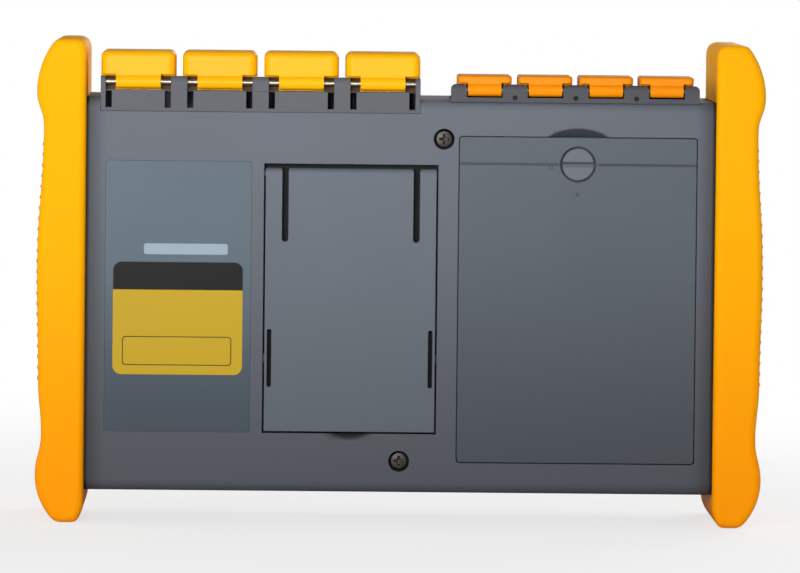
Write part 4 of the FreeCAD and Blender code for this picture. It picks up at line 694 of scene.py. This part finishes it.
def stacked(parts):
    """Several surfaces put in one: their points in a row and their faces renumbered."""
    points, faces, start = [], [], 0
    for some, quads in parts:
        points.append(np.asarray(some))
        faces += [[start + corner for corner in quad] for quad in quads]
        start += len(some)
    return np.vstack(points), faces


def look(word):
    """One of the scene's groups of settings."""
    return getattr(bpy.context.scene, "tester_" + word)


def grid_faces(rows, columns, wrap_columns=False):
    """Quads of a grid of rows by columns, its columns joined round if they wrap."""
    row = np.arange(rows - 1)
    column = np.arange(columns if wrap_columns else columns - 1)
    near, side = np.meshgrid(row, column, indexing="ij")
    far, next_side = near + 1, (side + 1) % columns
    quads = np.stack(
        [near * columns + side, near * columns + next_side,
         far * columns + next_side, far * columns + side], axis=-1)
    return quads.reshape(-1, 4)


def arc_points(start, end, upright_first, count=48):
    """Points on the arc between two places that stands upright at one of them.

    The radius is the chord's length squared over twice its width, and the arc turns
    from upright by the angle whose sine is the rise over that radius.
    """
    (x, z), (far_x, far_z) = (start, end) if upright_first else (end, start)
    across, rise = far_x - x, far_z - z
    radius = (across * across + rise * rise) / (2 * across)
    turn = np.linspace(0.0, math.asin(rise / radius), count)
    points = np.stack([x + radius * (1 - np.cos(turn)), z + radius * np.sin(turn)], axis=-1)
    return points if upright_first else points[::-1]


def even_run(points, density, count):
    """An open run of points resampled so that a step is short where the density is high.

    The running sum of length times density is cut into equal shares, and the points
    are read off at those shares.
    """
    steps = np.linalg.norm(np.diff(points, axis=0), axis=1)
    middles = (points[1:] + points[:-1]) / 2
    run = np.concatenate([[0.0], np.cumsum(steps * density(middles))])
    wanted = np.linspace(0.0, run[-1], count)
    return np.stack([np.interp(wanted, run, points[:, k]) for k in (0, 1)], axis=-1)


def softened(points, spread, step):
    """An evenly stepped closed loop, each point averaged over its neighbours by a bell curve."""
    reach = int(round(4 * spread / step))
    offset = np.arange(-reach, reach + 1)
    weight = np.exp(-0.5 * (offset * step / spread) ** 2)
    weight /= weight.sum()
    index = (np.arange(len(points))[:, None] + offset[None, :]) % len(points)
    return np.einsum("ijk,j->ik", points[index], weight)


def outward(points):
    """Unit normals that point out of a closed loop run anticlockwise in X and Z."""
    along = np.roll(points, -1, axis=0) - np.roll(points, 1, axis=0)
    normal = np.stack([along[:, 1], -along[:, 0]], axis=-1)
    return normal / np.linalg.norm(normal, axis=1, keepdims=True)


def flank_outline():
    """One end bumper's outline in X and Z, for the end at positive X.

    The flank is a chain of arcs that stand upright at its stations and meet half way
    between them. The top inner corner is a quarter circle. The loop is then softened by
    a bell curve, which rounds the toe, the heel and the crown.
    """
    half, top = BUMPER_HIGH.x, BUMPER_HIGH.z
    inner = BUMPER_LOW.x
    stations = [
        (half - 0.0002, 0.0165), (half - 0.0023, 0.0305), (half - 0.0011, 0.050),
        (half - 0.0005, 0.088), (half - 0.0025, top - 0.030), (half, top - 0.0185),
    ]
    toe, crown = (half - 0.0073, 0.0), (half - 0.0066, top)
    arcs = [arc_points(toe, stations[0], False)]
    for low, high in zip(stations, stations[1:]):
        meeting = ((low[0] + high[0]) / 2, (low[1] + high[1]) / 2)
        arcs += [arc_points(low, meeting, True), arc_points(meeting, high, False)]
    arcs.append(arc_points(stations[-1], crown, True))
    corner = 0.0034
    turn = np.linspace(math.pi / 2, math.pi, 24)
    arcs.append(np.stack([inner + corner + corner * np.cos(turn),
                          top - corner + corner * np.sin(turn)], axis=-1))
    arcs.append(np.array([[inner, 0.005], [half - 0.0149, 0.0]]))
    loop = np.vstack([*arcs, arcs[0][:1]])
    length = np.linalg.norm(np.diff(loop, axis=0), axis=1).sum()
    count = int(length / OUTLINE_STEP)
    even = even_run(loop, lambda middle: np.ones(len(middle)), count + 1)[:-1]
    smooth = softened(even, look("bumper").corner_softness, length / count)

    def density(middle):
        ribbed = (middle[:, 1] > RIB_LOW - 0.002) & (middle[:, 1] < top - RIB_DROP + 0.002)
        return np.where(ribbed, 1 / RIBBED_STEP, 1 / PLAIN_STEP)

    def middle_at(level):
        there = np.flatnonzero(np.abs(smooth[:, 1] - level) < MERGE)
        return there[len(there) // 2]

    smooth = np.roll(smooth, -middle_at(smooth[:, 1].min()), axis=0)
    last = middle_at(smooth[:, 1].max())
    flank = even_run(smooth[:last + 1], density, HALF_COUNT + 1)
    inside = even_run(np.vstack([smooth[last:], smooth[:1]]), density, HALF_COUNT + 1)
    return np.vstack([flank[:-1], inside[:-1]])


def rib_height(z, y):
    """How far the grip ribs stand out: each is the crest of a round rod sunk in the flank.

    Height is the square root of the rod's radius squared less the distance from its
    middle squared, less how deep the middle lies, and it runs out near the ribs' ends.
    """
    settings = look("bumper")
    first, last = RIB_LOW, CAD_BOX[1].z - RIB_DROP
    nearest = first + np.round((z - first) / settings.rib_pitch) * settings.rib_pitch
    away = np.where((nearest < first - MERGE) | (nearest > last + MERGE), 1.0, z - nearest)
    crest = np.sqrt(np.maximum(settings.rib_radius**2 - away**2, 0.0)) - settings.rib_sink
    ends = np.clip((RIB_END - np.abs(y)) / RIB_RUN_OUT, 0.0, 1.0)
    return np.maximum(crest, 0.0) * ends * ends * (3 - 2 * ends)


def bumper_surface(side):
    """Points and faces of a bumper: its outline carried through its depth with round rims.

    Across the depth Y, the outline draws in by the rim's radius times one less the
    cosine of the angle while Y grows with its sine. Each flat end is a net of straight
    rows that join a point of the flank's half to the same point of the inner half.
    """
    outline = flank_outline()
    normal = outward(outline)
    half, rim = BUMPER_HIGH.y, look("bumper").rim_radius
    angle = np.linspace(0.0, math.pi / 2, 11)
    quarter_y = half - rim + rim * np.sin(angle)
    quarter_in = rim * (1 - np.cos(angle))
    straight = np.concatenate([np.linspace(-0.0339, -0.0315, 7), np.linspace(-0.029, 0.029, 5),
                               np.linspace(0.0315, 0.0339, 7)])
    y = np.concatenate([-quarter_y[::-1], straight, quarter_y])
    inset = np.concatenate([quarter_in[::-1], np.zeros(len(straight)), quarter_in])
    outer = np.clip((normal[:, 0] - 0.8) / 0.1, 0.0, 1.0)
    ribs = rib_height(outline[None, :, 1], y[:, None]) * outer[None, :]
    reach = ribs - inset[:, None]
    skin = np.empty((len(y), len(outline), 3))
    skin[..., 0] = side * (outline[None, :, 0] + normal[None, :, 0] * reach)
    skin[..., 1] = y[:, None]
    skin[..., 2] = outline[None, :, 1] + normal[None, :, 1] * reach
    parts = [(skin.reshape(-1, 3), grid_faces(len(y), len(outline), wrap_columns=True).tolist())]
    share = np.linspace(0.0, 1.0, 9)[None, :, None]
    for edge in (skin[0], skin[-1]):
        flank = edge[:HALF_COUNT + 1]
        inside = np.vstack([edge[:1], edge[:HALF_COUNT - 1:-1]])
        net = flank[:, None, :] * (1 - share) + inside[:, None, :] * share
        parts.append((net.reshape(-1, 3), grid_faces(*net.shape[:2]).tolist()))
    return stacked(parts)


def rounded_block(low, high, corner, count=6):
    """Points and faces of a round-edged block: a superellipsoid of corners pushed apart.

    A sphere of the corner's radius is cut into eighths, and each eighth moves out to its
    corner of the block, so that edges are quarter round and corners are eighths of a ball.
    """
    low, high = np.array(low), np.array(high)
    rows, around = 2 * count, 4 * count
    azimuth = (np.arange(around) + 0.5) * (math.pi / 2) / count
    height = np.linspace(-math.pi / 2, math.pi / 2, rows)
    up, turn = np.meshgrid(height, azimuth, indexing="ij")
    ball = np.stack([np.cos(up) * np.cos(turn), np.cos(up) * np.sin(turn), np.sin(up)], axis=-1)
    middle, half = (low + high) / 2, (high - low) / 2
    signs = np.sign(ball)
    signs[..., 2] = np.where(up < 0, -1.0, 1.0)
    points = middle + signs * (half - corner) + ball * corner
    faces = grid_faces(rows, around, wrap_columns=True).tolist()
    faces += [list(range(around))[::-1], list(range((rows - 1) * around, rows * around))]
    return points.reshape(-1, 3), faces


def screw_surface(x, z, seat, head_radius, head_height, radius, length, around=96):
    """Points and faces of a screw along Y, head towards positive Y.

    A profile of radius against height is spun round the axis. The head's top is a low
    dome whose middle drops by the recess depth where the smaller of the two distances
    from the cross's arms is under half an arm, and the shank carries a ripple that
    climbs one pitch for each turn, which is its thread.
    """
    turn = np.linspace(0.0, 2 * math.pi, around, endpoint=False)
    reach, recess, rim = head_radius * 0.6, head_height * 0.62, head_radius * 0.06
    crown = head_height * 0.12
    rings = np.linspace(0.0, 1.0, 30)[1:] * head_radius * 0.94
    spread, angle = np.meshgrid(rings, turn, indexing="ij")
    arm = np.minimum(np.abs(spread * np.cos(angle)), np.abs(spread * np.sin(angle)))
    inside = np.clip((head_radius * 0.13 - arm) / (head_radius * 0.05) + 0.5, 0.0, 1.0)
    end = np.clip((reach - spread) / (head_radius * 0.1), 0.0, 1.0)
    dome = crown * (1 - (spread / head_radius) ** 2)
    top = dome - crown - inside * end * (1 - 0.45 * spread / reach) * recess
    rim_turn = np.linspace(0.0, math.pi / 2, 6)[1:]
    rim_radius = head_radius - rim + rim * np.sin(rim_turn)
    rim_height = -rim - head_height * 0.014 + rim * np.cos(rim_turn)
    side = np.stack([np.append(rim_radius, [head_radius, radius]),
                     np.append(rim_height, [-head_height, -head_height])])
    side = np.broadcast_to(side[..., None], (*side.shape, around))
    shank = np.linspace(0.0, 1.0, int(length / SHANK_STEP))[1:, None]
    phase = shank * length / THREAD_PITCH - turn / (2 * math.pi)
    ripple = np.abs((phase % 1.0) * 2 - 1) * radius * 0.16 - radius * 0.12
    taper = np.clip((1 - shank) / 0.06, 0.25, 1.0)
    started = np.clip(shank / 0.02, 0.0, 1.0)
    radii = np.vstack([spread, side[0], (radius + ripple * started) * taper])
    heights = np.vstack([top, side[1], np.broadcast_to(-head_height - shank * length, phase.shape)])
    points = np.stack([x + radii * np.cos(turn), seat + head_height + heights,
                       z + radii * np.sin(turn)], axis=-1).reshape(-1, 3)
    points = np.vstack([points, [[x, seat + head_height - recess, z]]])
    rows, near = len(radii), np.arange(around)
    fan = np.stack([np.full(around, len(points) - 1), (near + 1) % around, near], axis=-1)
    faces = grid_faces(rows, around, wrap_columns=True).tolist() + fan.tolist()
    faces.append(list(range((rows - 1) * around, rows * around)))
    return points, faces


# ---------------------------------------------------------------- what a user would change


def tint(name, description, *colour):
    """A colour setting, its default given from 0 to 255."""
    return FloatVectorProperty(name=name, description=description, subtype="COLOR", size=3,
                               min=0.0, max=1.0, default=linear(*colour))


def span(name, description, low, high, default, precision=4):
    """A length setting."""
    return FloatProperty(name=name, description=description, subtype="DISTANCE", unit="LENGTH",
                         min=low, max=high, default=default, precision=precision)


def watts(name, description, default):
    """A lamp's power setting."""
    return FloatProperty(name=name, description=description, subtype="POWER", unit="POWER",
                         min=0.0, max=50.0, default=default)


class CaseLook(bpy.types.PropertyGroup):
    """The two shells and the mouldings fixed on them."""

    shell_colour: tint("Shell colour", "Colour of the moulded case", 99, 103, 112)
    door_colour: tint("Door colour", "Colour of the battery door and the stand", 98, 105, 114)
    block_colour: tint("Port block colour", "Colour of the hinge blocks over the ports", 92, 93, 99)
    grain_depth: span("Grain depth", "Depth of the moulded texture", 0.0, 0.0005, 0.00005, 5)


class BumperLook(bpy.types.PropertyGroup):
    """The rubber bumpers on the two ends."""

    top_colour: tint("Upper colour", "Rubber colour at the crown", 252, 174, 5)
    # The lower colour is the upper colour with painted shade, darker and warmer at the foot.
    low_colour: tint("Lower colour", "Rubber colour at the foot", 252, 153, 4)
    rim_radius: span("Rim radius", "Rounding of the front and back edges", 0.0005, 0.004, 0.0026)
    corner_softness: span("Corner softness", "Spread of the bell curve that rounds the outline",
                          0.0003, 0.003, 0.0013)
    rib_pitch: span("Rib pitch", "Distance between grip ribs", 0.002, 0.008, 0.0037)
    rib_radius: span("Rib radius", "Radius of each grip rib", 0.0005, 0.003, 0.0012)
    rib_sink: span("Rib sink", "How deep a rib's middle lies in the flank", 0.0, 0.002, 0.0008)


class CapLook(bpy.types.PropertyGroup):
    """The hinged dust caps."""

    large_colour: tint("Large cap colour", "Colour of the four optical port caps", 255, 178, 8)
    small_colour: tint("Small cap colour", "Colour of the four socket caps", 244, 142, 3)


class LabelLook(bpy.types.PropertyGroup):
    """The printed plate on the back."""

    plate_colour: tint("Plate colour", "Colour of the bare plate", 80, 92, 102)
    band_colour: tint("Band colour", "Colour of the dark band", 9, 9, 11)
    panel_colour: tint("Panel colour", "Colour of the panel under the band", 184, 152, 26)
    strip_colour: tint("Strip colour", "Colour of the empty number strip", 146, 162, 174)


class StageLook(bpy.types.PropertyGroup):
    """Lamps, floor and camera."""

    key_power: watts("Key lamp", "Power of the lamp over the back's upper corner", 1.04)
    side_power: watts("Side lamps", "Power of each lamp beside the bumpers", 1.5)
    front_power: watts("Front lamp", "Power of the lamp on the display side", 6.0)
    ambient: FloatProperty(
        name="Ambient", description="Strength of the pale surroundings on the object",
        min=0.0, max=1.0, default=0.4)
    lens: FloatProperty(
        name="Lens", description="Focal length on a 36 mm wide sensor", subtype="DISTANCE_CAMERA",
        min=20.0, max=400.0, default=341.7)


# ---------------------------------------------------------------- operators


class FinishCase(bpy.types.Operator):
    """Finishes the rear and front shells and the seal between them"""

    bl_idname = "tester.finish_case"
    bl_label = "Case"

    def execute(self, context):
        case = look("case")
        shell = moulded("case_moulding", case.shell_colour, 0.5, depth=case.grain_depth, foot=0.56,
                        shade_and_print=shell_shade)
        dress("rear_shell", shell, MOULD_EDGE)
        dress("front_shell", shell, SHELL_EDGE)
        dress("case_seal", foam("case_seal_rubber", linear(38, 38, 40)))
        return {"FINISHED"}


class FinishBumpers(bpy.types.Operator):
    """Makes the two rubber bumpers, hollowed where they grip the case"""

    bl_idname = "tester.finish_bumpers"
    bl_label = "Bumpers"

    def execute(self, context):
        settings = look("bumper")
        skin = rubber("bumper_rubber", settings.low_colour, settings.top_colour,
                      CAD_BOX[0].z, CAD_BOX[1].z)
        for node, side in (("bumper_right", 1), ("bumper_left", -1)):
            points, faces = bumper_surface(side)
            made = piece(node + "_skin", points, faces, skin, "case")
            self.hollow(made, side)
            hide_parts(node)
        return {"FINISHED"}

    def hollow(self, made, side):
        """Takes the case's end out of a bumper and keeps the result as its mesh."""
        ends = sorted((side * (BUMPER_LOW.x - GRIP), CASE_HIGH.x * side))
        low = (ends[0], CASE_FRONT - FIT, CASE_LOW.z - FIT)
        high = (ends[1], CASE_HIGH.y + FIT, CASE_HIGH.z + FIT)
        points, faces = rounded_block(low, high, END_CORNER)
        tool = linked("case_end", surface_mesh("case_end", points, faces))
        cut = made.modifiers.new("case_end", "BOOLEAN")
        cut.operation, cut.solver, cut.object = "DIFFERENCE", "EXACT", tool
        shaped = evaluated(made)
        made.modifiers.clear()
        made.data = shaped
        shaped.set_sharp_from_angle(angle=SHARP)
        bpy.data.objects.remove(tool)


class FinishStand(bpy.types.Operator):
    """Finishes the tilting stand"""

    bl_idname = "tester.finish_stand"
    bl_label = "Stand"

    def execute(self, context):
        paint = moulded("stand_moulding", look("case").door_colour, 0.46, foot=0.74,
                        shade_and_print=stand_shade)
        dress("kickstand", paint, MOULD_EDGE)
        return {"FINISHED"}


class FinishDoor(bpy.types.Operator):
    """Finishes the battery door, its turning lock and the battery behind it"""

    bl_idname = "tester.finish_door"
    bl_label = "Battery door"

    def execute(self, context):
        case = look("case")
        door = moulded("door_moulding", scaled(case.door_colour, 0.82), 0.46, foot=0.56,
                       shade_and_print=door_shade)
        dress("battery_door", door, MOULD_EDGE)
        lock = moulded("lock_moulding", scaled(case.shell_colour, 1.1), 0.4, shade_and_print=lock_shade)
        dress("door_lock_screw", lock)
        dress("lock_insert", metal("insert_brass", linear(205, 165, 95), 0.32))
        dress("battery_pack", moulded("battery_wrap", linear(44, 46, 50), 0.55))
        dress("battery_contacts", moulded("contact_plastic", linear(28, 28, 30), 0.5))
        return {"FINISHED"}


class FinishPorts(bpy.types.Operator):
    """Finishes the optical ports: hinge block, pins, adapters and their sleeves"""

    bl_idname = "tester.finish_ports"
    bl_label = "Optical ports"

    def execute(self, context):
        block = moulded("port_moulding", look("case").block_colour, 0.5, shade_and_print=port_shade)
        steel = metal("pin_steel", linear(168, 158, 142), 0.42, (0.1, 1.0, 1.0))
        nickel = metal("adapter_nickel", linear(200, 200, 202), 0.24, (1.0, 1.0, 6.0))
        zirconia = moulded("sleeve_zirconia", linear(238, 236, 228), 0.2, 900.0, 0.000005)
        dress("port_block", block)
        dress("port_cap_pins", steel, METAL_EDGE)
        for name in row_names("optical_adapter"):
            dress(name, nickel, METAL_EDGE)
        dress("adapter_sleeves", zirconia, CERAMIC_EDGE)
        dress("flange_screws", metal("flange_screw_steel", linear(70, 70, 74), 0.35), METAL_EDGE)
        return {"FINISHED"}


def dress_caps(word, material, colour, roughness):
    """Dresses a row of caps in one moulded plastic."""
    paint = moulded(material, colour, roughness, depth=0.00001, shine=0.1,
                    shade_and_print=cap_shade(word, colour))
    for name in row_names(word):
        dress(name, paint)


class FinishPortCaps(bpy.types.Operator):
    """Finishes the four large hinged caps"""

    bl_idname = "tester.finish_port_caps"
    bl_label = "Optical port caps"

    def execute(self, context):
        dress_caps("port_cap", "large_cap_moulding", look("cap").large_colour, 0.36)
        return {"FINISHED"}


class FinishSockets(bpy.types.Operator):
    """Finishes the socket ports: hinge block, pins and the four sockets"""

    bl_idname = "tester.finish_sockets"
    bl_label = "Sockets"

    def execute(self, context):
        block = moulded("jack_moulding", scaled(look("case").block_colour, 0.72), 0.5,
                        shade_and_print=jack_shade)
        dress("jack_block", block)
        steel = metal("jack_pin_steel", linear(168, 158, 142), 0.42, (0.1, 1.0, 1.0))
        dress("jack_cap_pins", steel, METAL_EDGE)
        plated = metal("socket_plate", linear(190, 190, 188), 0.28)
        housing = moulded("socket_housing", linear(26, 26, 28), 0.45)
        for node in ("usb_socket_1", "usb_socket_2", "network_socket"):
            dress(node, plated, METAL_EDGE)
        dress("power_inlet", housing, METAL_EDGE)
        return {"FINISHED"}


class FinishJackCaps(bpy.types.Operator):
    """Finishes the four small hinged caps"""

    bl_idname = "tester.finish_jack_caps"
    bl_label = "Socket caps"

    def execute(self, context):
        dress_caps("jack_cap", "small_cap_moulding", look("cap").small_colour, 0.38)
        return {"FINISHED"}


class FinishScrews(bpy.types.Operator):
    """Makes the case screws and the corner screws under the bumpers"""

    bl_idname = "tester.finish_screws"
    bl_label = "Case screws"

    def execute(self, context):
        # Black oxide steel, its colour darkened further as painted shade for heads sunk in their
        # wells.
        oxide_and_shade = metal("black_oxide", linear(58, 52, 47), 0.42, worn=0.3, metallic=0.4)
        for node, (head, shank) in SCREWS.items():
            low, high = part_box(node)
            seat, length = high.y - HEAD_HEIGHT, high.y - low.y - HEAD_HEIGHT
            points, faces = stacked([screw_surface(x, z, seat, head, HEAD_HEIGHT, shank, length)
                                     for x, z in screw_places(node)])
            made = piece(node + "_turned", points, faces, oxide_and_shade, "case")
            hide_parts(node)
        return {"FINISHED"}


class FinishLabel(bpy.types.Operator):
    """Finishes the printed plate on the back"""

    bl_idname = "tester.finish_label"
    bl_label = "Label plate"

    def execute(self, context):
        low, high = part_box("rear_label")
        paint = printed_label("label_print", look("label"), (low.x, high.x, low.z, high.z))
        dress("rear_label", paint, PLATE_EDGE)
        return {"FINISHED"}


class FinishKeys(bpy.types.Operator):
    """Finishes the keypad, its board and the status lights"""

    bl_idname = "tester.finish_keys"
    bl_label = "Keypad"

    def execute(self, context):
        key = moulded("key_moulding", linear(64, 66, 70), 0.5)
        accent = moulded("key_accent", linear(232, 150, 20), 0.45)
        for name in ("up", "down", "left", "right", "save", "back", "test", "power", "ok"):
            dress("key_" + name, accent if name == "ok" else key, MOULD_EDGE)
        dress("key_board", board_laminate("key_board_laminate", linear(20, 70, 42)))
        dress("status_lights", moulded("light_pipe", linear(190, 205, 200), 0.15, 400.0, 0.00001))
        return {"FINISHED"}


class FinishDisplay(bpy.types.Operator):
    """Finishes the cover glass, its gasket and the screen behind"""

    bl_idname = "tester.finish_display"
    bl_label = "Display"

    def execute(self, context):
        low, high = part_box("display_gasket")
        window = (low.x, high.x, low.z, high.z)
        dress("display_glass", cover_glass("cover_glass", linear(28, 30, 33), window), METAL_EDGE)
        dress("display_gasket", foam("gasket_foam", linear(30, 30, 32)), NO_EDGE)
        dress("screen_module", moulded("screen_panel", linear(22, 23, 26), 0.25))
        return {"FINISHED"}


class FinishEngine(bpy.types.Operator):
    """Finishes the boards, the shield, the measuring unit and their screws"""

    bl_idname = "tester.finish_engine"
    bl_label = "Boards and measuring unit"

    def execute(self, context):
        laminate = board_laminate("board_laminate", linear(18, 78, 48))
        tin = metal("can_tin", linear(186, 188, 190), 0.34, (1.0, 1.0, 0.1))
        dress("main_board", laminate, METAL_EDGE)
        dress("socket_board", laminate, METAL_EDGE)
        dress("processor_shield", tin, METAL_EDGE)
        dress("measuring_unit", tin, CAN_EDGE)
        dress("board_screws", metal("board_screw_steel", linear(70, 70, 74), 0.35), NO_EDGE)
        return {"FINISHED"}


def aimed(made, place, target, roll=0.0):
    """Puts a lamp or the camera at a place, looking at a target, turned about its own view."""
    way = (Vector(target) - Vector(place)).to_track_quat("-Z", "Y")
    made.location = place
    made.rotation_mode = "QUATERNION"
    made.rotation_quaternion = way @ Matrix.Rotation(roll, 3, "Z").to_quaternion()
    return made


def lamp(name, place, target, size, power, spread=180.0):
    """A soft oblong lamp whose beam opens by the spread in degrees."""
    light = bpy.data.lights.new(name, "AREA")
    light.shape, light.energy, light.spread = "RECTANGLE", power, math.radians(spread)
    light.size, light.size_y = size
    made = linked(name, light)
    made.visible_camera = False
    return aimed(made, place, target)


def floor_surface(reach, count=9):
    """A level grid just under the feet."""
    line = np.linspace(-reach, reach, count)
    x, y = np.meshgrid(line, line, indexing="ij")
    level = np.full_like(x, CAD_BOX[0].z - FLOOR_DROP)
    points = np.stack([x, y, level], axis=-1).reshape(-1, 3)
    return points, grid_faces(count, count).tolist()


class SetStage(bpy.types.Operator):
    """Sets the floor, the surroundings, the lamps and the camera"""

    bl_idname = "tester.set_stage"
    bl_label = "Stage"

    def execute(self, context):
        settings = look("stage")
        scene = context.scene
        mesh = surface_mesh("floor", *floor_surface(FLOOR_REACH))
        floor = linked("floor", mesh)
        mesh.materials.append(self.floor_paint())
        self.surroundings(scene, settings.ambient)
        middle = (CAD_BOX[0] + CAD_BOX[1]) / 2
        lamp("key_lamp", KEY_PLACE, KEY_TARGET, KEY_SIZE, settings.key_power, KEY_SPREAD)
        for name, side in (("side_lamp_2", -1), ("side_lamp_1", 1)):
            place = (side * SIDE_PLACE[0], *SIDE_PLACE[1:])
            lamp(name, place, middle, SIDE_SIZE, settings.side_power)
        lamp("front_lamp", FRONT_PLACE, middle, FRONT_SIZE, settings.front_power)
        camera = bpy.data.cameras.new("camera")
        camera.lens, camera.sensor_width = settings.lens, 36.0
        camera.clip_start, camera.clip_end = 0.05, 20.0
        scene.camera = aimed(linked("camera", camera), CAMERA_PLACE, CAMERA_TARGET, CAMERA_ROLL)
        scene.view_settings.view_transform = "Standard"
        return {"FINISHED"}

    def floor_paint(self):
        """Pale floor that looks white where it is open and keeps the object's shadow."""
        paint = Paint("floor_paint", (0.8, 0.8, 0.8), 0.9)
        cloud = paint.noise(3.0)
        paint.set("Base Color", paint.blend(cloud, (0.79, 0.79, 0.79), (0.82, 0.82, 0.82)))
        glow = paint.node("ShaderNodeEmission", values={"Color": WHITE, "Strength": 1.0})
        seen = paint.node("ShaderNodeLightPath")["Is Camera Ray"]
        away = (paint.x * paint.x + paint.y * paint.y) ** 0.5
        share = seen * away.fade(0.16, 0.75, 0.72, 1.0)
        both = paint.node("ShaderNodeMixShader", values={"Fac": share})
        mixer = both["Shader"].socket.node
        paint.tree.links.new(paint.shader.outputs[0], mixer.inputs[1])
        paint.tree.links.new(glow["Emission"].socket, mixer.inputs[2])
        output = next(n for n in paint.tree.nodes if n.type == "OUTPUT_MATERIAL")
        paint.tree.links.new(mixer.outputs[0], output.inputs["Surface"])
        return paint.material

    def surroundings(self, scene, ambient):
        """White surroundings to the camera; to the object, pale all round and dim overhead."""
        world = bpy.data.worlds.new("surroundings")
        scene.world = world
        world.use_nodes = True
        paint = Nodes(world.node_tree)
        path = paint.node("ShaderNodeLightPath")
        way = paint.node("ShaderNodeTexCoord")["Generated"]
        parts = paint.node("ShaderNodeSeparateXYZ", values={"Vector": way})
        mirrored = path["Is Glossy Ray"].most(path["Is Transmission Ray"])
        overhead = parts["Z"].fade(0.15, 0.7, 1.0, 0.6)
        room = parts["Y"].fade(0.1, 0.7, 1.0, 0.35)
        lit = (mirrored * (room * 0.5 - ambient) + ambient) * overhead
        sky = paint.tree.nodes["Background"]
        paint.put(sky.inputs["Strength"], path["Is Camera Ray"].most(lit))
        paint.put(sky.inputs["Color"], WHITE)


GROUPS = {"case": CaseLook, "bumper": BumperLook, "cap": CapLook, "label": LabelLook,
          "stage": StageLook}
STEPS = (SetStage, FinishCase, FinishBumpers, FinishStand, FinishDoor, FinishPorts, FinishPortCaps,
         FinishSockets, FinishJackCaps, FinishScrews, FinishLabel, FinishKeys, FinishDisplay,
         FinishEngine)


class TesterPanel(bpy.types.Panel):
    """Lists the settings and the steps"""

    bl_idname = "VIEW3D_PT_tester"
    bl_label = "Fibre tester"
    bl_space_type = "VIEW_3D"
    bl_region_type = "UI"
    bl_category = "Tester"

    def draw(self, context):
        layout = self.layout
        for word, group in GROUPS.items():
            held = getattr(context.scene, "tester_" + word)
            box = layout.box()
            box.label(text=word.capitalize())
            for setting in group.__annotations__:
                box.prop(held, setting)
        for step in STEPS:
            layout.operator(step.bl_idname)


def register():
    """Registers the classes and hangs the settings on the scene."""
    for kind in (*GROUPS.values(), *STEPS, TesterPanel):
        bpy.utils.register_class(kind)
    for word, group in GROUPS.items():
        setattr(bpy.types.Scene, "tester_" + word, PointerProperty(type=group))


def unregister():
    """Takes the settings and the classes away again."""
    for word in GROUPS:
        delattr(bpy.types.Scene, "tester_" + word)
    for kind in reversed((*GROUPS.values(), *STEPS, TesterPanel)):
        bpy.utils.unregister_class(kind)


def main():
    """Runs every step in order."""
    register()
    for step in STEPS:
        family, verb = step.bl_idname.split(".")
        getattr(getattr(bpy.ops, family), verb)()


if __name__ == "__main__":
    main()
